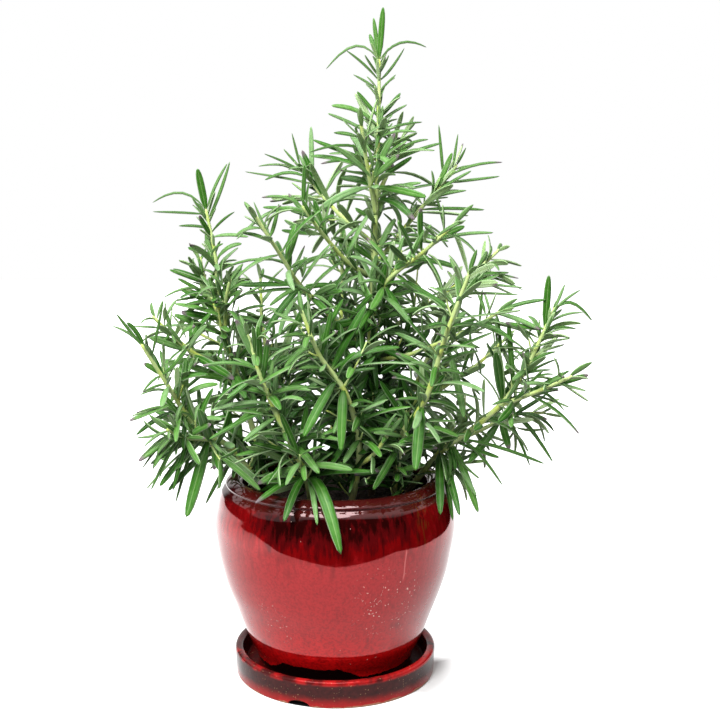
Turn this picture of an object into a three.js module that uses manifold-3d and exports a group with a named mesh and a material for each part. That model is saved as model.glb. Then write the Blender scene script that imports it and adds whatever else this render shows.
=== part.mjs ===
// A rosemary plant in a glazed pot that stands on its saucer.
// Millimetres, +Z up. The origin is the centre of the saucer's flat underside.
import * as THREE from "three";
import { mergeVertices } from "three/addons/utils/BufferGeometryUtils.js";
import Module from "manifold-3d";

const wasm = await Module();
wasm.setup();

// Clearances
const GAP = 0.3; // between pieces that touch
const LEAF_GAP = 0.4; // between leaves of different plants

const GRID = 0.005; // spacing of the fine grid that the corners of the meshes lie on

// Sides of the turned pieces
const ROUND_SIDES = 36;

// Saucer
const SAUCER_HEIGHT = 15.2;
const SAUCER_TOP_RADIUS = 58;
const SAUCER_BASE_RADIUS = 57.4;
const SAUCER_WALL = 5;
const SAUCER_FLOOR = 5.5;
const NOTCH_WIDTH = 13;
const NOTCH_HEIGHT = 3.5;
const NOTCH_DEPTH = 6;
const NOTCH_TURN = 250; // degrees from +X to the notch in the base edge

// Pot
const POT_FOOT = SAUCER_FLOOR + GAP;
const POT_FLOOR = 6.5; // thickness of the floor
const POT_WALL = 6;
const POT_BELLY_RADIUS = 68.8;
const POT_RIM_HEIGHT = 114.7;
const LIP_INNER_RADIUS = 52;
const DRAIN_RADIUS = 6;

// Soil
const SOIL_TOP = 101;
const SOIL_CROWN = 1.4; // rise in the middle
const HOLE_DEPTH = 14;
const HOLE_SIDES = 6;
const SOIL_SIDES = 24;

// Stems
const STEM_SIDES = 5;
const STEM_STEP = 18; // length of one straight stretch of a stem
const COLLAR = 2.5; // height above the soil at which a stem starts to lean
const FOOT_RADIUS = 2.1;
const SHOOT_RADIUS = 1.5;
const TIP_RADIUS = 1;

// Leaves. A spread is the range that one random draw is taken from.
const LEAF_LENGTH = 32;
const LENGTH_SPREAD = [0.75, 1.15];
const LEAF_WIDTH = 3.8;
const WIDTH_SPREAD = [0.85, 1.2];
const LEAF_THICKNESS = 1;
const LEAF_STEPS = 2; // straight stretches in a leaf
const ARCHED = 5; // an arch from which a leaf listed by hand has more stretches
const ARCHED_LEAF_STEPS = 3;
const RIPE = 26; // distance from the tip of a shoot at which the leaves are full grown
const YOUNG_LENGTH = 0.4; // at the tip, as a share of full growth
const YOUNG_WIDTH = 0.7;
const YOUNG_LEAN = 24; // degrees between a leaf's root and its stem
const OLD_LEAN = 60;
const LEAN_SPREAD = [-12, 12];
const CURL_SPREAD = [-10, 60]; // degrees that a leaf bends away from its stem along its length
const TURN_SPREAD = [-20, 20]; // degrees round the stem
const DROOP = 0.08; // how far the tip sinks, as a share of the length

// Pairs of leaves along a stem
const NODE_SPACING = 11; // where the leaves are full grown
const TIP_SPACING = 6.5;
const FIRST_PAIR = 1.5; // distance of the first pair from the tip
const ROOT_OFFSET = 0.35; // distance of a leaf's root from the middle of its stem
const PAIRED = 26; // distance from the tip within which both leaves of a pair are built
const BARE_STEM = 16; // leafless length above the soil
const BARE_SHOOT = 7; // leafless length at the root of a side shoot

// A leaf that meets another plant is turned round its stem, then shortened, until it is clear.
const DETOURS = [0, 20, -20, 40, -40];
const SHORTENINGS = [1, 0.75];

const CURVE_SAMPLES = 200;
const QUARTER = Math.PI / 2;

// The way that the upper face of a leaf listed by hand is turned: up, and to the front
const FACING = new THREE.Vector3(0, -0.7, 0.7);

const radians = (degrees) => THREE.MathUtils.degToRad(degrees);
const mix = THREE.MathUtils.lerp;
const vec = (point) => new THREE.Vector3(...point);
const pick = ([low, high], draw) => mix(low, high, draw());

const redGlaze = new THREE.MeshStandardMaterial({ color: 0x8a1014, roughness: 0.12, metalness: 0 });
const darkGlaze = new THREE.MeshStandardMaterial({ color: 0x54242a, roughness: 0.2, metalness: 0 });
const pottingSoil = new THREE.MeshStandardMaterial({ color: 0x241a14, roughness: 1, metalness: 0 });
const greenLeaf = new THREE.MeshStandardMaterial({ color: 0x4c7a3c, roughness: 0.6, metalness: 0 });

// Solids

function toSolid(geometry) {
  geometry.deleteAttribute("normal");
  geometry.deleteAttribute("uv");
  const merged = mergeVertices(geometry, 1e-4);
  const mesh = new wasm.Mesh({
    numProp: 3,
    vertProperties: new Float32Array(merged.attributes.position.array),
    triVerts: new Uint32Array(merged.index.array),
  });
  return new wasm.Manifold(mesh);
}

// The solid as a mesh. Its corners go on a fine grid, and triangles that this closes up are dropped.
function toMesh(name, solid, material) {
  const { vertProperties, triVerts } = solid.getMesh();
  const snapped = Float32Array.from(vertProperties, (value) => Math.round(value / GRID) * GRID);
  const cut = new THREE.BufferGeometry();
  cut.setAttribute("position", new THREE.BufferAttribute(snapped, 3));
  cut.setIndex(new THREE.BufferAttribute(new Uint32Array(triVerts), 1));
  const geometry = mergeVertices(cut, GRID / 2);
  const corners = geometry.index.array;
  const kept = [];
  for (let i = 0; i < corners.length; i += 3) {
    const [a, b, c] = corners.slice(i, i + 3);
    if (a !== b && b !== c && c !== a) kept.push(a, b, c);
  }
  geometry.setIndex(kept);
  geometry.computeVertexNormals();
  const mesh = new THREE.Mesh(geometry, material);
  mesh.name = name;
  return mesh;
}

// A solid of revolution about Z, from [radius, height] points that run from bottom to top outside.
function turned(points, sides) {
  const outline = points.map(([radius, height]) => new THREE.Vector2(radius, height));
  return toSolid(new THREE.LatheGeometry(outline, sides).rotateX(QUARTER));
}

function uprightCylinder(x, y, low, high, radius, sides) {
  const cylinder = new THREE.CylinderGeometry(radius, radius, high - low, sides);
  return toSolid(cylinder.rotateX(QUARTER).translate(x, y, (low + high) / 2));
}

// Saucer

function makeSaucer() {
  const inner = SAUCER_TOP_RADIUS - SAUCER_WALL;
  const body = turned([
    [0, 0],
    [SAUCER_BASE_RADIUS - 1.4, 0],
    [SAUCER_BASE_RADIUS, 1.2],
    [SAUCER_TOP_RADIUS, SAUCER_HEIGHT - 2.6],
    [SAUCER_TOP_RADIUS - 1, SAUCER_HEIGHT - 0.5],
    [SAUCER_TOP_RADIUS - 2.5, SAUCER_HEIGHT],
    [inner + 0.9, SAUCER_HEIGHT - 0.6],
    [inner, SAUCER_HEIGHT - 2.6],
    [inner - 1.2, SAUCER_FLOOR],
    [0, SAUCER_FLOOR],
  ], ROUND_SIDES);
  const notch = new THREE.CylinderGeometry(NOTCH_WIDTH / 2, NOTCH_WIDTH / 2, 2 * NOTCH_DEPTH, 12);
  notch.rotateZ(QUARTER).scale(1, 1, NOTCH_HEIGHT / (NOTCH_WIDTH / 2));
  notch.translate(SAUCER_BASE_RADIUS, 0, 0).rotateZ(radians(NOTCH_TURN));
  return body.subtract(toSolid(notch));
}

// Pot

// The outside from the foot to the widest part of the lip.
const potOutside = [
  [42, POT_FOOT],
  [44.8, 9],
  [46.4, 14.5],
  [50.5, 22.5],
  [57.7, 42],
  [62.8, 56],
  [66.2, 70],
  [POT_BELLY_RADIUS, 88],
  [67.3, 100],
  [64.5, 107.5],
  [62.2, 111],
];

const potLip = [
  [60.4, 113.5],
  [57.8, POT_RIM_HEIGHT],
  [54.6, POT_RIM_HEIGHT - 0.6],
  [LIP_INNER_RADIUS, POT_RIM_HEIGHT - 3.2],
  [LIP_INNER_RADIUS + 1, POT_RIM_HEIGHT - 7],
];

const POT_INNER_FLOOR = POT_FOOT + POT_FLOOR;

// The inside below the lip, from top to bottom: the outside drawn in by the wall.
const potInside = [
  [67.3 - POT_WALL, 98],
  [POT_BELLY_RADIUS - POT_WALL, 86],
  [66.2 - POT_WALL, 70],
  [57.7 - POT_WALL, 42],
  [50.5 - POT_WALL, 23],
  [37, POT_INNER_FLOOR],
];

function makePot() {
  const section = [[0, POT_FOOT], ...potOutside, ...potLip, ...potInside, [0, POT_INNER_FLOOR]];
  const drain = uprightCylinder(0, 0, 0, POT_INNER_FLOOR + 1, DRAIN_RADIUS, 16);
  return turned(section, ROUND_SIDES).subtract(drain);
}

function outsideRadius(height) {
  const saucerSide = [[SAUCER_BASE_RADIUS, 0], [SAUCER_TOP_RADIUS, SAUCER_HEIGHT]];
  const line = [...saucerSide, ...potOutside.slice(4), potLip[0]];
  for (let i = 1; i < line.length; i++) {
    const [lowRadius, low] = line[i - 1];
    const [highRadius, high] = line[i];
    if (height < high) return mix(lowRadius, highRadius, (height - low) / (high - low));
  }
  return potLip[1][0];
}

// Soil

function makeSoil(feet) {
  const side = potInside.map(([radius, height]) => [radius - GAP - 0.1, height]);
  side[side.length - 1][1] += GAP;
  const crown = [[0, SOIL_TOP + SOIL_CROWN], [30, SOIL_TOP + 0.8], [50, SOIL_TOP - 0.6]];
  const section = [...crown, ...side, [0, POT_INNER_FLOOR + GAP]].reverse();
  let soil = turned(section, SOIL_SIDES);
  const radius = (FOOT_RADIUS + GAP) / Math.cos(Math.PI / HOLE_SIDES);
  for (const [x, y] of feet) {
    const hole = uprightCylinder(x, y, SOIL_TOP - HOLE_DEPTH, SOIL_TOP + HOLE_DEPTH, radius, HOLE_SIDES);
    soil = soil.subtract(hole);
  }
  return soil;
}

// Rosemary plants. Each has the route of its stem from the soil to its tip, and of its side shoots, which
// leave the stem at the height "from". The leaves listed by hand are the large ones and those that stand out
// at the tips: the height of the root, the tip, how far the leaf arches up, and its width. They fill the
// length "filled" of the stem or shoot, measured from its tip. The rule places the leaves below that.
const plants = [
  {
    name: "rosemary_main",
    route: [[21, 2], [20, 4, 157], [20, 4, 201], [22, 5, 242], [23, 4, 275], [24, 4, 324], [24, 5, 345]],
    filled: 43,
    shoots: [
      { from: 132, route: [[36, -10, 148], [46, -22, 164]] },
      { from: 140, route: [[6, -14, 158], [-2, -24, 176]] },
      { from: 152, route: [[34, 14, 170], [40, 24, 190]] },
      { from: 179, route: [[42, -8, 185], [73, -18, 200], [88, -24, 210]] },
      { from: 184, route: [[-15, -22, 220], [-29, -36, 242], [-41, -45, 262]] },
      { from: 190, route: [[48, 22, 206], [80, 40, 225], [98, 48, 240]] },
      { from: 197, route: [[27, -14, 224], [47, -32, 243], [62, -43, 258]] },
      {
        from: 226,
        route: [[7, -8, 236], [-7, -18, 252], [-17, -24, 266]],
        filled: 9,
        leaves: [
          { at: 267, tip: [-39, -24, 271], arch: 6, width: 2 },
          { at: 263, tip: [-38, -30, 266], arch: 2, width: 2.6 },
          { at: 263, tip: [-52, -32, 249], arch: 16, width: 2.1 },
          { at: 268, tip: [-16, -28, 288], arch: 0, width: 2.4 },
        ],
      },
      {
        from: 232,
        route: [[45, 12, 261], [56, 18, 273], [69, 23, 289]],
        filled: 30,
        leaves: [
          { at: 280, tip: [59, 26, 312], arch: 0, width: 1.9 },
          { at: 286, tip: [70, 26, 307], arch: 0, width: 1.6 },
          { at: 274, tip: [66, 18, 296], arch: 0, width: 3.2 },
          { at: 289, tip: [74, 20, 299], arch: 0, width: 1.6 },
          { at: 282, tip: [96, 28, 291], arch: 6, width: 2 },
          { at: 274, tip: [77, 18, 286], arch: 1, width: 2.2 },
          { at: 279, tip: [94, 24, 283], arch: 0, width: 2 },
          { at: 273, tip: [63, 14, 247], arch: 8, width: 1.6 },
          { at: 264, tip: [86, 26, 264], arch: 2, width: 2.4 },
        ],
      },
      {
        from: 244,
        route: [[1, 22, 263], [-10, 32, 275], [-20, 38, 288]],
        filled: 12,
        leaves: [
          { at: 288, tip: [-25, 36, 308], arch: 0, width: 1.4 },
          { at: 289, tip: [-30, 40, 299], arch: 0, width: 1.5 },
          { at: 285, tip: [-41, 34, 296], arch: 2, width: 1.4 },
          { at: 284, tip: [-45, 40, 289], arch: 7, width: 1.6 },
          { at: 281, tip: [-41, 36, 281], arch: 9, width: 2.4 },
          { at: 279, tip: [-53, 42, 286], arch: 1, width: 1.5 },
          { at: 271, tip: [-19, 30, 298], arch: 0, width: 3.8 },
          { at: 279, tip: [-14, 42, 312], arch: 0, width: 3 },
        ],
      },
      { from: 261, route: [[17, -6, 291], [14, -12, 310]] },
      { from: 270, route: [[31, 14, 289], [35, 20, 308]] },
    ],
    leaves: [
      { at: 344, tip: [25, 4, 373], arch: 0, width: 3.5 },
      { at: 345, tip: [21, 8, 368], arch: 0, width: 2.5 },
      { at: 345, tip: [19, 12, 360], arch: 0, width: 2.9 },
      { at: 345, tip: [-5, 3, 340], arch: 12, width: 1.6 },
      { at: 345, tip: [50, 6, 352], arch: 7, width: 1.6 },
      { at: 333, tip: [6, 2, 350], arch: 3, width: 1.5 },
      { at: 333, tip: [38, 8, 352], arch: -3, width: 1.5 },
      { at: 336, tip: [16, -3, 347], arch: 0, width: 1.8 },
      { at: 337, tip: [29, -2, 347], arch: 0, width: 1.5 },
      { at: 328, tip: [10, 10, 338], arch: 2, width: 1.4 },
      { at: 327, tip: [33, 0, 337], arch: 1, width: 1.4 },
      { at: 314, tip: [12, 0, 328], arch: 0, width: 3 },
      { at: 313, tip: [36, 8, 328], arch: 0, width: 2.9 },
      { at: 309, tip: [-2, -6, 320], arch: 7, width: 3.5 },
      { at: 311, tip: [40, 12, 322], arch: 2, width: 1.9 },
      { at: 302, tip: [-4, -6, 316], arch: 3, width: 2.4 },
      { at: 304, tip: [48, 4, 312], arch: 4, width: 1.8 },
      { at: 302, tip: [44, -8, 306], arch: 5, width: 2 },
    ],
  },
  {
    name: "rosemary_left_tall",
    route: [[-38, 12], [-55, 14, 164], [-66, 16, 201], [-68, 16, 236], [-73, 16, 264]],
    filled: 32,
    shoots: [
      { from: 173, route: [[-76, 2, 182], [-89, -6, 194], [-100, -11, 206]] },
      { from: 189, route: [[-61, 2, 214], [-58, -4, 226]] },
      { from: 204, route: [[-75, 27, 221], [-79, 33, 236]] },
    ],
    leaves: [
      { at: 263, tip: [-77, 12, 287], arch: 0, width: 4.3 },
      { at: 264, tip: [-61, 20, 290], arch: 5, width: 1.9 },
      { at: 259, tip: [-59, 14, 291], arch: -5, width: 2.2 },
      { at: 264, tip: [-103, 14, 268], arch: 16, width: 1.5 },
      { at: 261, tip: [-104, 20, 263], arch: 1, width: 1.5 },
      { at: 259, tip: [-80, 10, 271], arch: 0, width: 1.9 },
      { at: 249, tip: [-76, 8, 261], arch: 0, width: 3.7 },
      { at: 253, tip: [-89, 18, 255], arch: 2, width: 1.9 },
      { at: 251, tip: [-57, 18, 263], arch: 3, width: 1.4 },
      { at: 248, tip: [-49, 14, 249], arch: 3, width: 2.5 },
      { at: 235, tip: [-83, 10, 243], arch: 4, width: 2.9 },
      { at: 235, tip: [-53, 16, 245], arch: 6, width: 2.9 },
    ],
  },
  {
    name: "rosemary_left_low",
    route: [[-42, -12], [-55, -19, 132], [-75, -32, 149], [-88, -44, 174], [-99, -54, 196]],
    filled: 26,
    shoots: [{ from: 140, route: [[-78, -46, 146], [-86, -60, 153]] }],
    leaves: [
      { at: 146, tip: [-79, -54, 107], arch: 3, width: 6 },
      { at: 142, tip: [-96, -56, 134], arch: 7, width: 3.6 },
      { at: 138, tip: [-88, -50, 118], arch: 7, width: 3.8 },
      { at: 195, tip: [-111, -58, 213], arch: 0, width: 1.9 },
      { at: 196, tip: [-114, -54, 206], arch: 4, width: 1.4 },
      { at: 192, tip: [-106, -56, 208], arch: 6, width: 2.6 },
      { at: 179, tip: [-99, -50, 186], arch: 2, width: 3.5 },
      { at: 188, tip: [-88, -50, 219], arch: 0, width: 1.4 },
      { at: 179, tip: [-76, -54, 194], arch: -2, width: 2.5 },
      { at: 174, tip: [-99, -56, 172], arch: 2, width: 1.6 },
    ],
  },
  {
    name: "rosemary_front_left",
    route: [[-12, -34], [-16, -42, 126], [-28, -50, 154], [-38, -54, 179], [-45, -56, 203]],
    leaves: [
      { at: 122, tip: [3, -79, 93], arch: 23, width: 6.6 },
      { at: 124, tip: [-26, -72, 108], arch: 9, width: 4.4 },
      { at: 124, tip: [-41, -66, 116], arch: 5, width: 3.6 },
      { at: 123, tip: [19, -55, 130], arch: 4, width: 3.4 },
      { at: 121, tip: [-9, -72, 106], arch: 13, width: 3 },
    ],
  },
  {
    name: "rosemary_front_mid",
    route: [[9, -24], [13, -38, 138], [6, -48, 169], [-8, -54, 191], [-17, -58, 214]],
    shoots: [{ from: 128, route: [[20, -44, 136], [27, -52, 148]] }],
  },
  {
    name: "rosemary_front_right",
    route: [[33, -16], [36, -32, 143], [48, -43, 167], [57, -52, 201], [68, -58, 234]],
    leaves: [{ at: 162, tip: [41, -66, 133], arch: 5, width: 6 }],
  },
  {
    name: "rosemary_right_low",
    route: [[42, 4], [59, -8, 129], [83, -19, 151], [100, -24, 173], [118, -24, 212]],
    filled: 17,
    shoots: [
      { from: 135, route: [[84, -4, 142], [101, 4, 148], [121, 12, 148]] },
      { from: 158, route: [[107, -34, 168], [124, -43, 178]] },
    ],
    leaves: [
      { at: 160, tip: [85, -36, 190], arch: 2, width: 5.4 },
      { at: 128, tip: [66, -48, 104], arch: 10, width: 4 },
      { at: 200, tip: [114, -26, 230], arch: 0, width: 4 },
      { at: 212, tip: [124, -20, 225], arch: 0, width: 1.8 },
      { at: 211, tip: [132, -22, 222], arch: 2, width: 1.5 },
      { at: 210, tip: [139, -22, 205], arch: 11, width: 2.5 },
      { at: 203, tip: [133, -26, 210], arch: 5, width: 1.5 },
      { at: 199, tip: [130, -24, 201], arch: 4, width: 1.8 },
      { at: 201, tip: [91, -28, 205], arch: -1, width: 3.4 },
    ],
  },
  {
    name: "rosemary_back_left",
    route: [[-20, 34], [-34, 50, 150], [-44, 60, 188], [-46, 66, 222]],
    shoots: [{ from: 140, route: [[-48, 44, 162], [-66, 48, 180], [-84, 52, 190]] }],
  },
  {
    name: "rosemary_back_mid",
    route: [[2, 42], [-2, 60, 150], [4, 70, 200], [4, 74, 250]],
    shoots: [{ from: 150, route: [[-14, 74, 172], [-22, 84, 190]] }],
  },
  {
    name: "rosemary_back_right",
    route: [[28, 32], [44, 50, 145], [60, 60, 180], [68, 68, 214]],
    shoots: [{ from: 140, route: [[66, 42, 158], [86, 42, 172], [102, 46, 186]] }],
  },
];

// Random numbers from 0 to 1, the same on every run.
function makeDraw(seed) {
  let state = seed;
  return () => {
    state = (state * 1664525 + 1013904223) % 4294967296;
    return state / 4294967296;
  };
}

// Place, direction and two sideways directions of a curve at a share of its length.
function frameAt(curve, share) {
  const point = curve.getPointAt(share);
  const along = curve.getTangentAt(share);
  const back = new THREE.Vector3(0, 1, 0);
  back.addScaledVector(along, -back.dot(along)).normalize();
  return { point, along, back, across: new THREE.Vector3().crossVectors(along, back) };
}

function pointAtHeight(curve, height) {
  const points = curve.getSpacedPoints(CURVE_SAMPLES);
  return points.find((point) => point.z >= height) ?? points[points.length - 1];
}

// A tapering stem along a curve. A rooted one also goes straight down into its hole.
function stemSolid(curve, footRadius, rooted) {
  const steps = Math.ceil(curve.getLength() / STEM_STEP);
  const below = rooted ? 1 : 0;
  const shape = new THREE.CylinderGeometry(1, 1, 1, STEM_SIDES, steps + below);
  const spots = shape.attributes.position;
  for (let i = 0; i < spots.count; i++) {
    const level = Math.round((spots.getY(i) + 0.5) * (steps + below)) - below;
    const share = Math.max(0, level / steps);
    const { point, along, back, across } = frameAt(curve, share);
    if (rooted && level <= 0) {
      along.set(0, 0, 1);
      back.set(0, 1, 0);
      across.crossVectors(along, back);
      if (level < 0) point.z = SOIL_TOP - HOLE_DEPTH + GAP;
    }
    const radius = mix(footRadius, TIP_RADIUS, share);
    point.addScaledVector(across, -spots.getX(i) * radius).addScaledVector(back, -spots.getZ(i) * radius);
    spots.setXYZ(i, point.x, point.y, point.z);
  }
  return toSolid(shape);
}

// Half the breadth of a leaf at a share of its length: drawn in at the root, pointed at the tip.
function halfBreadth(width, share) {
  return (width / 2) * Math.sin(Math.PI * mix(0.05, 1, share)) ** 0.7;
}

// A three-sided blade along its arch, with its ridge on the upper face. It starts as a cone whose round is
// an even triangle, 1.5 high and twice the sine of 60 degrees broad.
function leafSolid({ root, bow, tip, side, width, steps = LEAF_STEPS }) {
  const arch = new THREE.QuadraticBezierCurve3(root, bow, tip);
  const shape = new THREE.CylinderGeometry(0, 1, 1, 3, steps);
  const spots = shape.attributes.position;
  for (let i = 0; i < spots.count; i++) {
    const share = spots.getY(i) + 0.5;
    const tangent = arch.getTangent(share);
    const upper = new THREE.Vector3().crossVectors(tangent, side).normalize();
    const left = 1 - share;
    const sideways = left > 0 ? -spots.getX(i) / left / Math.sin(radians(60)) : 0;
    const upwards = left > 0 ? spots.getZ(i) / left / 1.5 : 0;
    const point = arch.getPoint(share);
    point.addScaledVector(side, sideways * halfBreadth(width, share));
    point.addScaledVector(upper, upwards * LEAF_THICKNESS);
    spots.setXYZ(i, point.x, point.y, point.z);
  }
  return toSolid(shape);
}

// The leaves that the rule gives one shoot, from the tip down: opposite pairs, each a quarter turn from
// the last. Further in, one leaf of each pair is built, by turns on all four sides.
function leavesOn(curve, filled, bare, draw) {
  const length = curve.getLength();
  const leaves = [];
  let distance = FIRST_PAIR + filled;
  for (let pair = 0; distance < length - bare; pair++) {
    const age = Math.min(1, distance / RIPE);
    const turn = pair * QUARTER + radians(pick(TURN_SPREAD, draw));
    for (const opposite of [0, 1]) {
      const leaf = {
        frame: frameAt(curve, 1 - distance / length),
        turn: turn + opposite * Math.PI,
        lean: radians(mix(YOUNG_LEAN, OLD_LEAN, age) + pick(LEAN_SPREAD, draw)),
        curl: radians(pick(CURL_SPREAD, draw)),
        length: LEAF_LENGTH * mix(YOUNG_LENGTH, 1, age) * pick(LENGTH_SPREAD, draw),
        width: LEAF_WIDTH * mix(YOUNG_WIDTH, 1, age) * pick(WIDTH_SPREAD, draw),
      };
      if (distance < PAIRED || opposite === 0) leaves.push(leaf);
    }
    distance += mix(TIP_SPACING, NODE_SPACING, age);
  }
  return leaves;
}

// Where a leaf of the rule lies when it is turned round its stem and shortened.
function layLeaf({ frame, turn, lean, curl, length, width }, detour, shortening) {
  const { point, along, back, across } = frame;
  const out = back.clone().multiplyScalar(Math.cos(turn + detour));
  out.addScaledVector(across, Math.sin(turn + detour));
  const half = (length * shortening) / 2;
  const reach = (from, angle) => from.clone()
    .addScaledVector(along, Math.cos(angle) * half)
    .addScaledVector(out, Math.sin(angle) * half);
  const root = point.clone().addScaledVector(out, ROOT_OFFSET);
  const bow = reach(root, lean);
  const tip = reach(bow, lean + curl);
  tip.z -= DROOP * length * shortening;
  return { root, bow, tip, side: new THREE.Vector3().crossVectors(along, out), width };
}

function layListedLeaf(curve, { at, tip, arch, width }) {
  const root = pointAtHeight(curve, at);
  const end = vec(tip);
  const bow = root.clone().lerp(end, 0.4).add(new THREE.Vector3(0, 0, arch));
  const side = FACING.clone().cross(end.clone().sub(root));
  const steps = arch > ARCHED ? ARCHED_LEAF_STEPS : LEAF_STEPS;
  return { root, bow, tip: end, side: side.normalize(), width, steps };
}

// Clearance

// Shortest distance between two straight stretches, each given by its ends.
function distanceBetween(a, b) {
  const u = a.end.clone().sub(a.start);
  const v = b.end.clone().sub(b.start);
  const w = a.start.clone().sub(b.start);
  const uu = u.dot(u);
  const uv = u.dot(v);
  const vv = v.dot(v);
  const uw = u.dot(w);
  const vw = v.dot(w);
  const spread = uu * vv - uv * uv;
  const clamp = (value) => Math.min(1, Math.max(0, value));
  let s = spread > 1e-9 ? clamp((uv * vw - vv * uw) / spread) : 0;
  const t = clamp((uv * s + vw) / vv);
  s = clamp((uv * t - uw) / uu);
  return w.addScaledVector(u, s).addScaledVector(v, -t).length();
}

const occupied = [];

function stretchesOfStem(curve, radius, plant) {
  const steps = Math.ceil(curve.getLength() / STEM_STEP);
  const points = Array.from({ length: steps + 1 }, (_, i) => curve.getPointAt(i / steps));
  return points.slice(1).map((end, i) => ({ start: points[i], end, radius, plant }));
}

function stretchesOfLeaf({ root, bow, tip, width, steps = LEAF_STEPS }, plant) {
  const points = new THREE.QuadraticBezierCurve3(root, bow, tip).getPoints(steps);
  const radius = Math.max(width / 2, LEAF_THICKNESS);
  return points.slice(1).map((end, i) => ({ start: points[i], end, radius, plant }));
}

function clearOfPlants(stretches) {
  return stretches.every((mine) => occupied.every((other) => other.plant === mine.plant
    || distanceBetween(mine, other) > mine.radius + other.radius + LEAF_GAP));
}

// A leaf stays above the soil inside the mouth and outside the pot and saucer beyond it.
function clearOfPot({ root, bow, tip, width }) {
  const points = new THREE.QuadraticBezierCurve3(root, bow, tip).getPoints(8);
  const room = width / 2 + LEAF_GAP;
  return points.every(({ x, y, z }) => {
    const radius = Math.hypot(x, y);
    if (z - room > POT_RIM_HEIGHT) return true;
    if (radius + room < LIP_INNER_RADIUS) return z - room > SOIL_TOP + SOIL_CROWN;
    return z > room && radius - room > outsideRadius(z);
  });
}

// The first lie of a leaf that is clear of everything, or none.
function fitLeaf(leaf, plant) {
  for (const shortening of SHORTENINGS) {
    for (const detour of DETOURS) {
      const laid = layLeaf(leaf, radians(detour), shortening);
      const stretches = stretchesOfLeaf(laid, plant);
      if (clearOfPot(laid) && clearOfPlants(stretches)) {
        occupied.push(...stretches);
        return laid;
      }
    }
  }
  return null;
}

function routeCurve(start, rest) {
  return new THREE.CatmullRomCurve3([start, ...rest.map(vec)], false, "catmullrom", 0.5);
}

function growPlant({ name, route, shoots = [] }) {
  const [[x, y], ...rest] = route;
  const stem = routeCurve(new THREE.Vector3(x, y, SOIL_TOP + COLLAR), rest);
  const curves = [stem, ...shoots.map((shoot) => routeCurve(pointAtHeight(stem, shoot.from), shoot.route))];
  curves.forEach((curve, i) => {
    const radius = i ? SHOOT_RADIUS : FOOT_RADIUS;
    occupied.push(...stretchesOfStem(curve, radius, name));
  });
  return curves;
}

const stemsOf = (plant) => [plant, ...(plant.shoots ?? [])];
const grown = plants.map(growPlant);
const laidLeaves = plants.map((plant, i) => {
  const laid = stemsOf(plant).flatMap(({ leaves = [] }, j) => (
    leaves.map((leaf) => layListedLeaf(grown[i][j], leaf))));
  laid.forEach((leaf) => occupied.push(...stretchesOfLeaf(leaf, plant.name)));
  return laid;
});

plants.forEach((plant, i) => {
  stemsOf(plant).forEach(({ filled = 0 }, j) => {
    const draw = makeDraw(1000 * (i + 1) + j);
    for (const leaf of leavesOn(grown[i][j], filled, j ? BARE_SHOOT : BARE_STEM, draw)) {
      const laid = fitLeaf(leaf, plant.name);
      if (laid) laidLeaves[i].push(laid);
    }
  });
});

function makePlant(index) {
  const [stem, ...shoots] = grown[index];
  let solid = stemSolid(stem, FOOT_RADIUS, true);
  for (const shoot of shoots) solid = solid.add(stemSolid(shoot, SHOOT_RADIUS, false));
  for (const leaf of laidLeaves[index]) solid = solid.add(leafSolid(leaf));
  return solid;
}

const pottedRosemary = new THREE.Group();
pottedRosemary.add(toMesh("saucer", makeSaucer(), darkGlaze));
pottedRosemary.add(toMesh("pot", makePot(), redGlaze));
pottedRosemary.add(toMesh("soil", makeSoil(plants.map(({ route }) => route[0])), pottingSoil));
plants.forEach(({ name }, i) => pottedRosemary.add(toMesh(name, makePlant(i), greenLeaf)));

export default pottedRosemary;
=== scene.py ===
# The looks of a rosemary plant in its glazed pot, on its saucer. Metres, +Z up, origin under the saucer.
# Sizes that repeat the solids are in millimetres, as they are there, and MM turns them into metres.
import math
import random

import bpy
import numpy as np
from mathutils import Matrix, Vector


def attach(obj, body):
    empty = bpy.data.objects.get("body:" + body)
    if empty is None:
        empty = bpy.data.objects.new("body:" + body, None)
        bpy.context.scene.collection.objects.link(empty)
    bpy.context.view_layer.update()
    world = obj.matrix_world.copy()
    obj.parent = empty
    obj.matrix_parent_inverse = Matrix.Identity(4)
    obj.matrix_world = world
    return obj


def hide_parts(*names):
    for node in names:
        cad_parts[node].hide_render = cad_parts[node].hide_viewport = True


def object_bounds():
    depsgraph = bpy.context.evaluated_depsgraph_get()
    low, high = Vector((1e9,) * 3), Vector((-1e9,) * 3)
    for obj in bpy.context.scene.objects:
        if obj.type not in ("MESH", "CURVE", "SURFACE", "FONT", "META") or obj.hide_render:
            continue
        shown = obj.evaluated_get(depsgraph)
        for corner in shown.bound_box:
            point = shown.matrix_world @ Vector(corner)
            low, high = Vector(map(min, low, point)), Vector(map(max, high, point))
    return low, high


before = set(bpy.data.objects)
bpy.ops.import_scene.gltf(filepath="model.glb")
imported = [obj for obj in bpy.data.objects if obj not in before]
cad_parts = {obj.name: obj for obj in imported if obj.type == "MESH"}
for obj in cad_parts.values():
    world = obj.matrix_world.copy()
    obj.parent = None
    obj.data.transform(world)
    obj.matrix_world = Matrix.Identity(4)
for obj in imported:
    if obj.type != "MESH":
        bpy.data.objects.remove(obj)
cad_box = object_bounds()

MM = 0.001

# Camera, from a fit to the outlines of the pot and saucer
CAMERA_DISTANCE = 0.61818
CAMERA_HEIGHT = 0.27138
CAMERA_DIP = 0.146  # radians below the horizon
SENSOR = 36  # its width in millimetres
FOCAL_SHARE = 1110.5 / 720  # focal length as a share of the frame's width
SHIFT_X = (360 - 335.06) / 720

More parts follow.
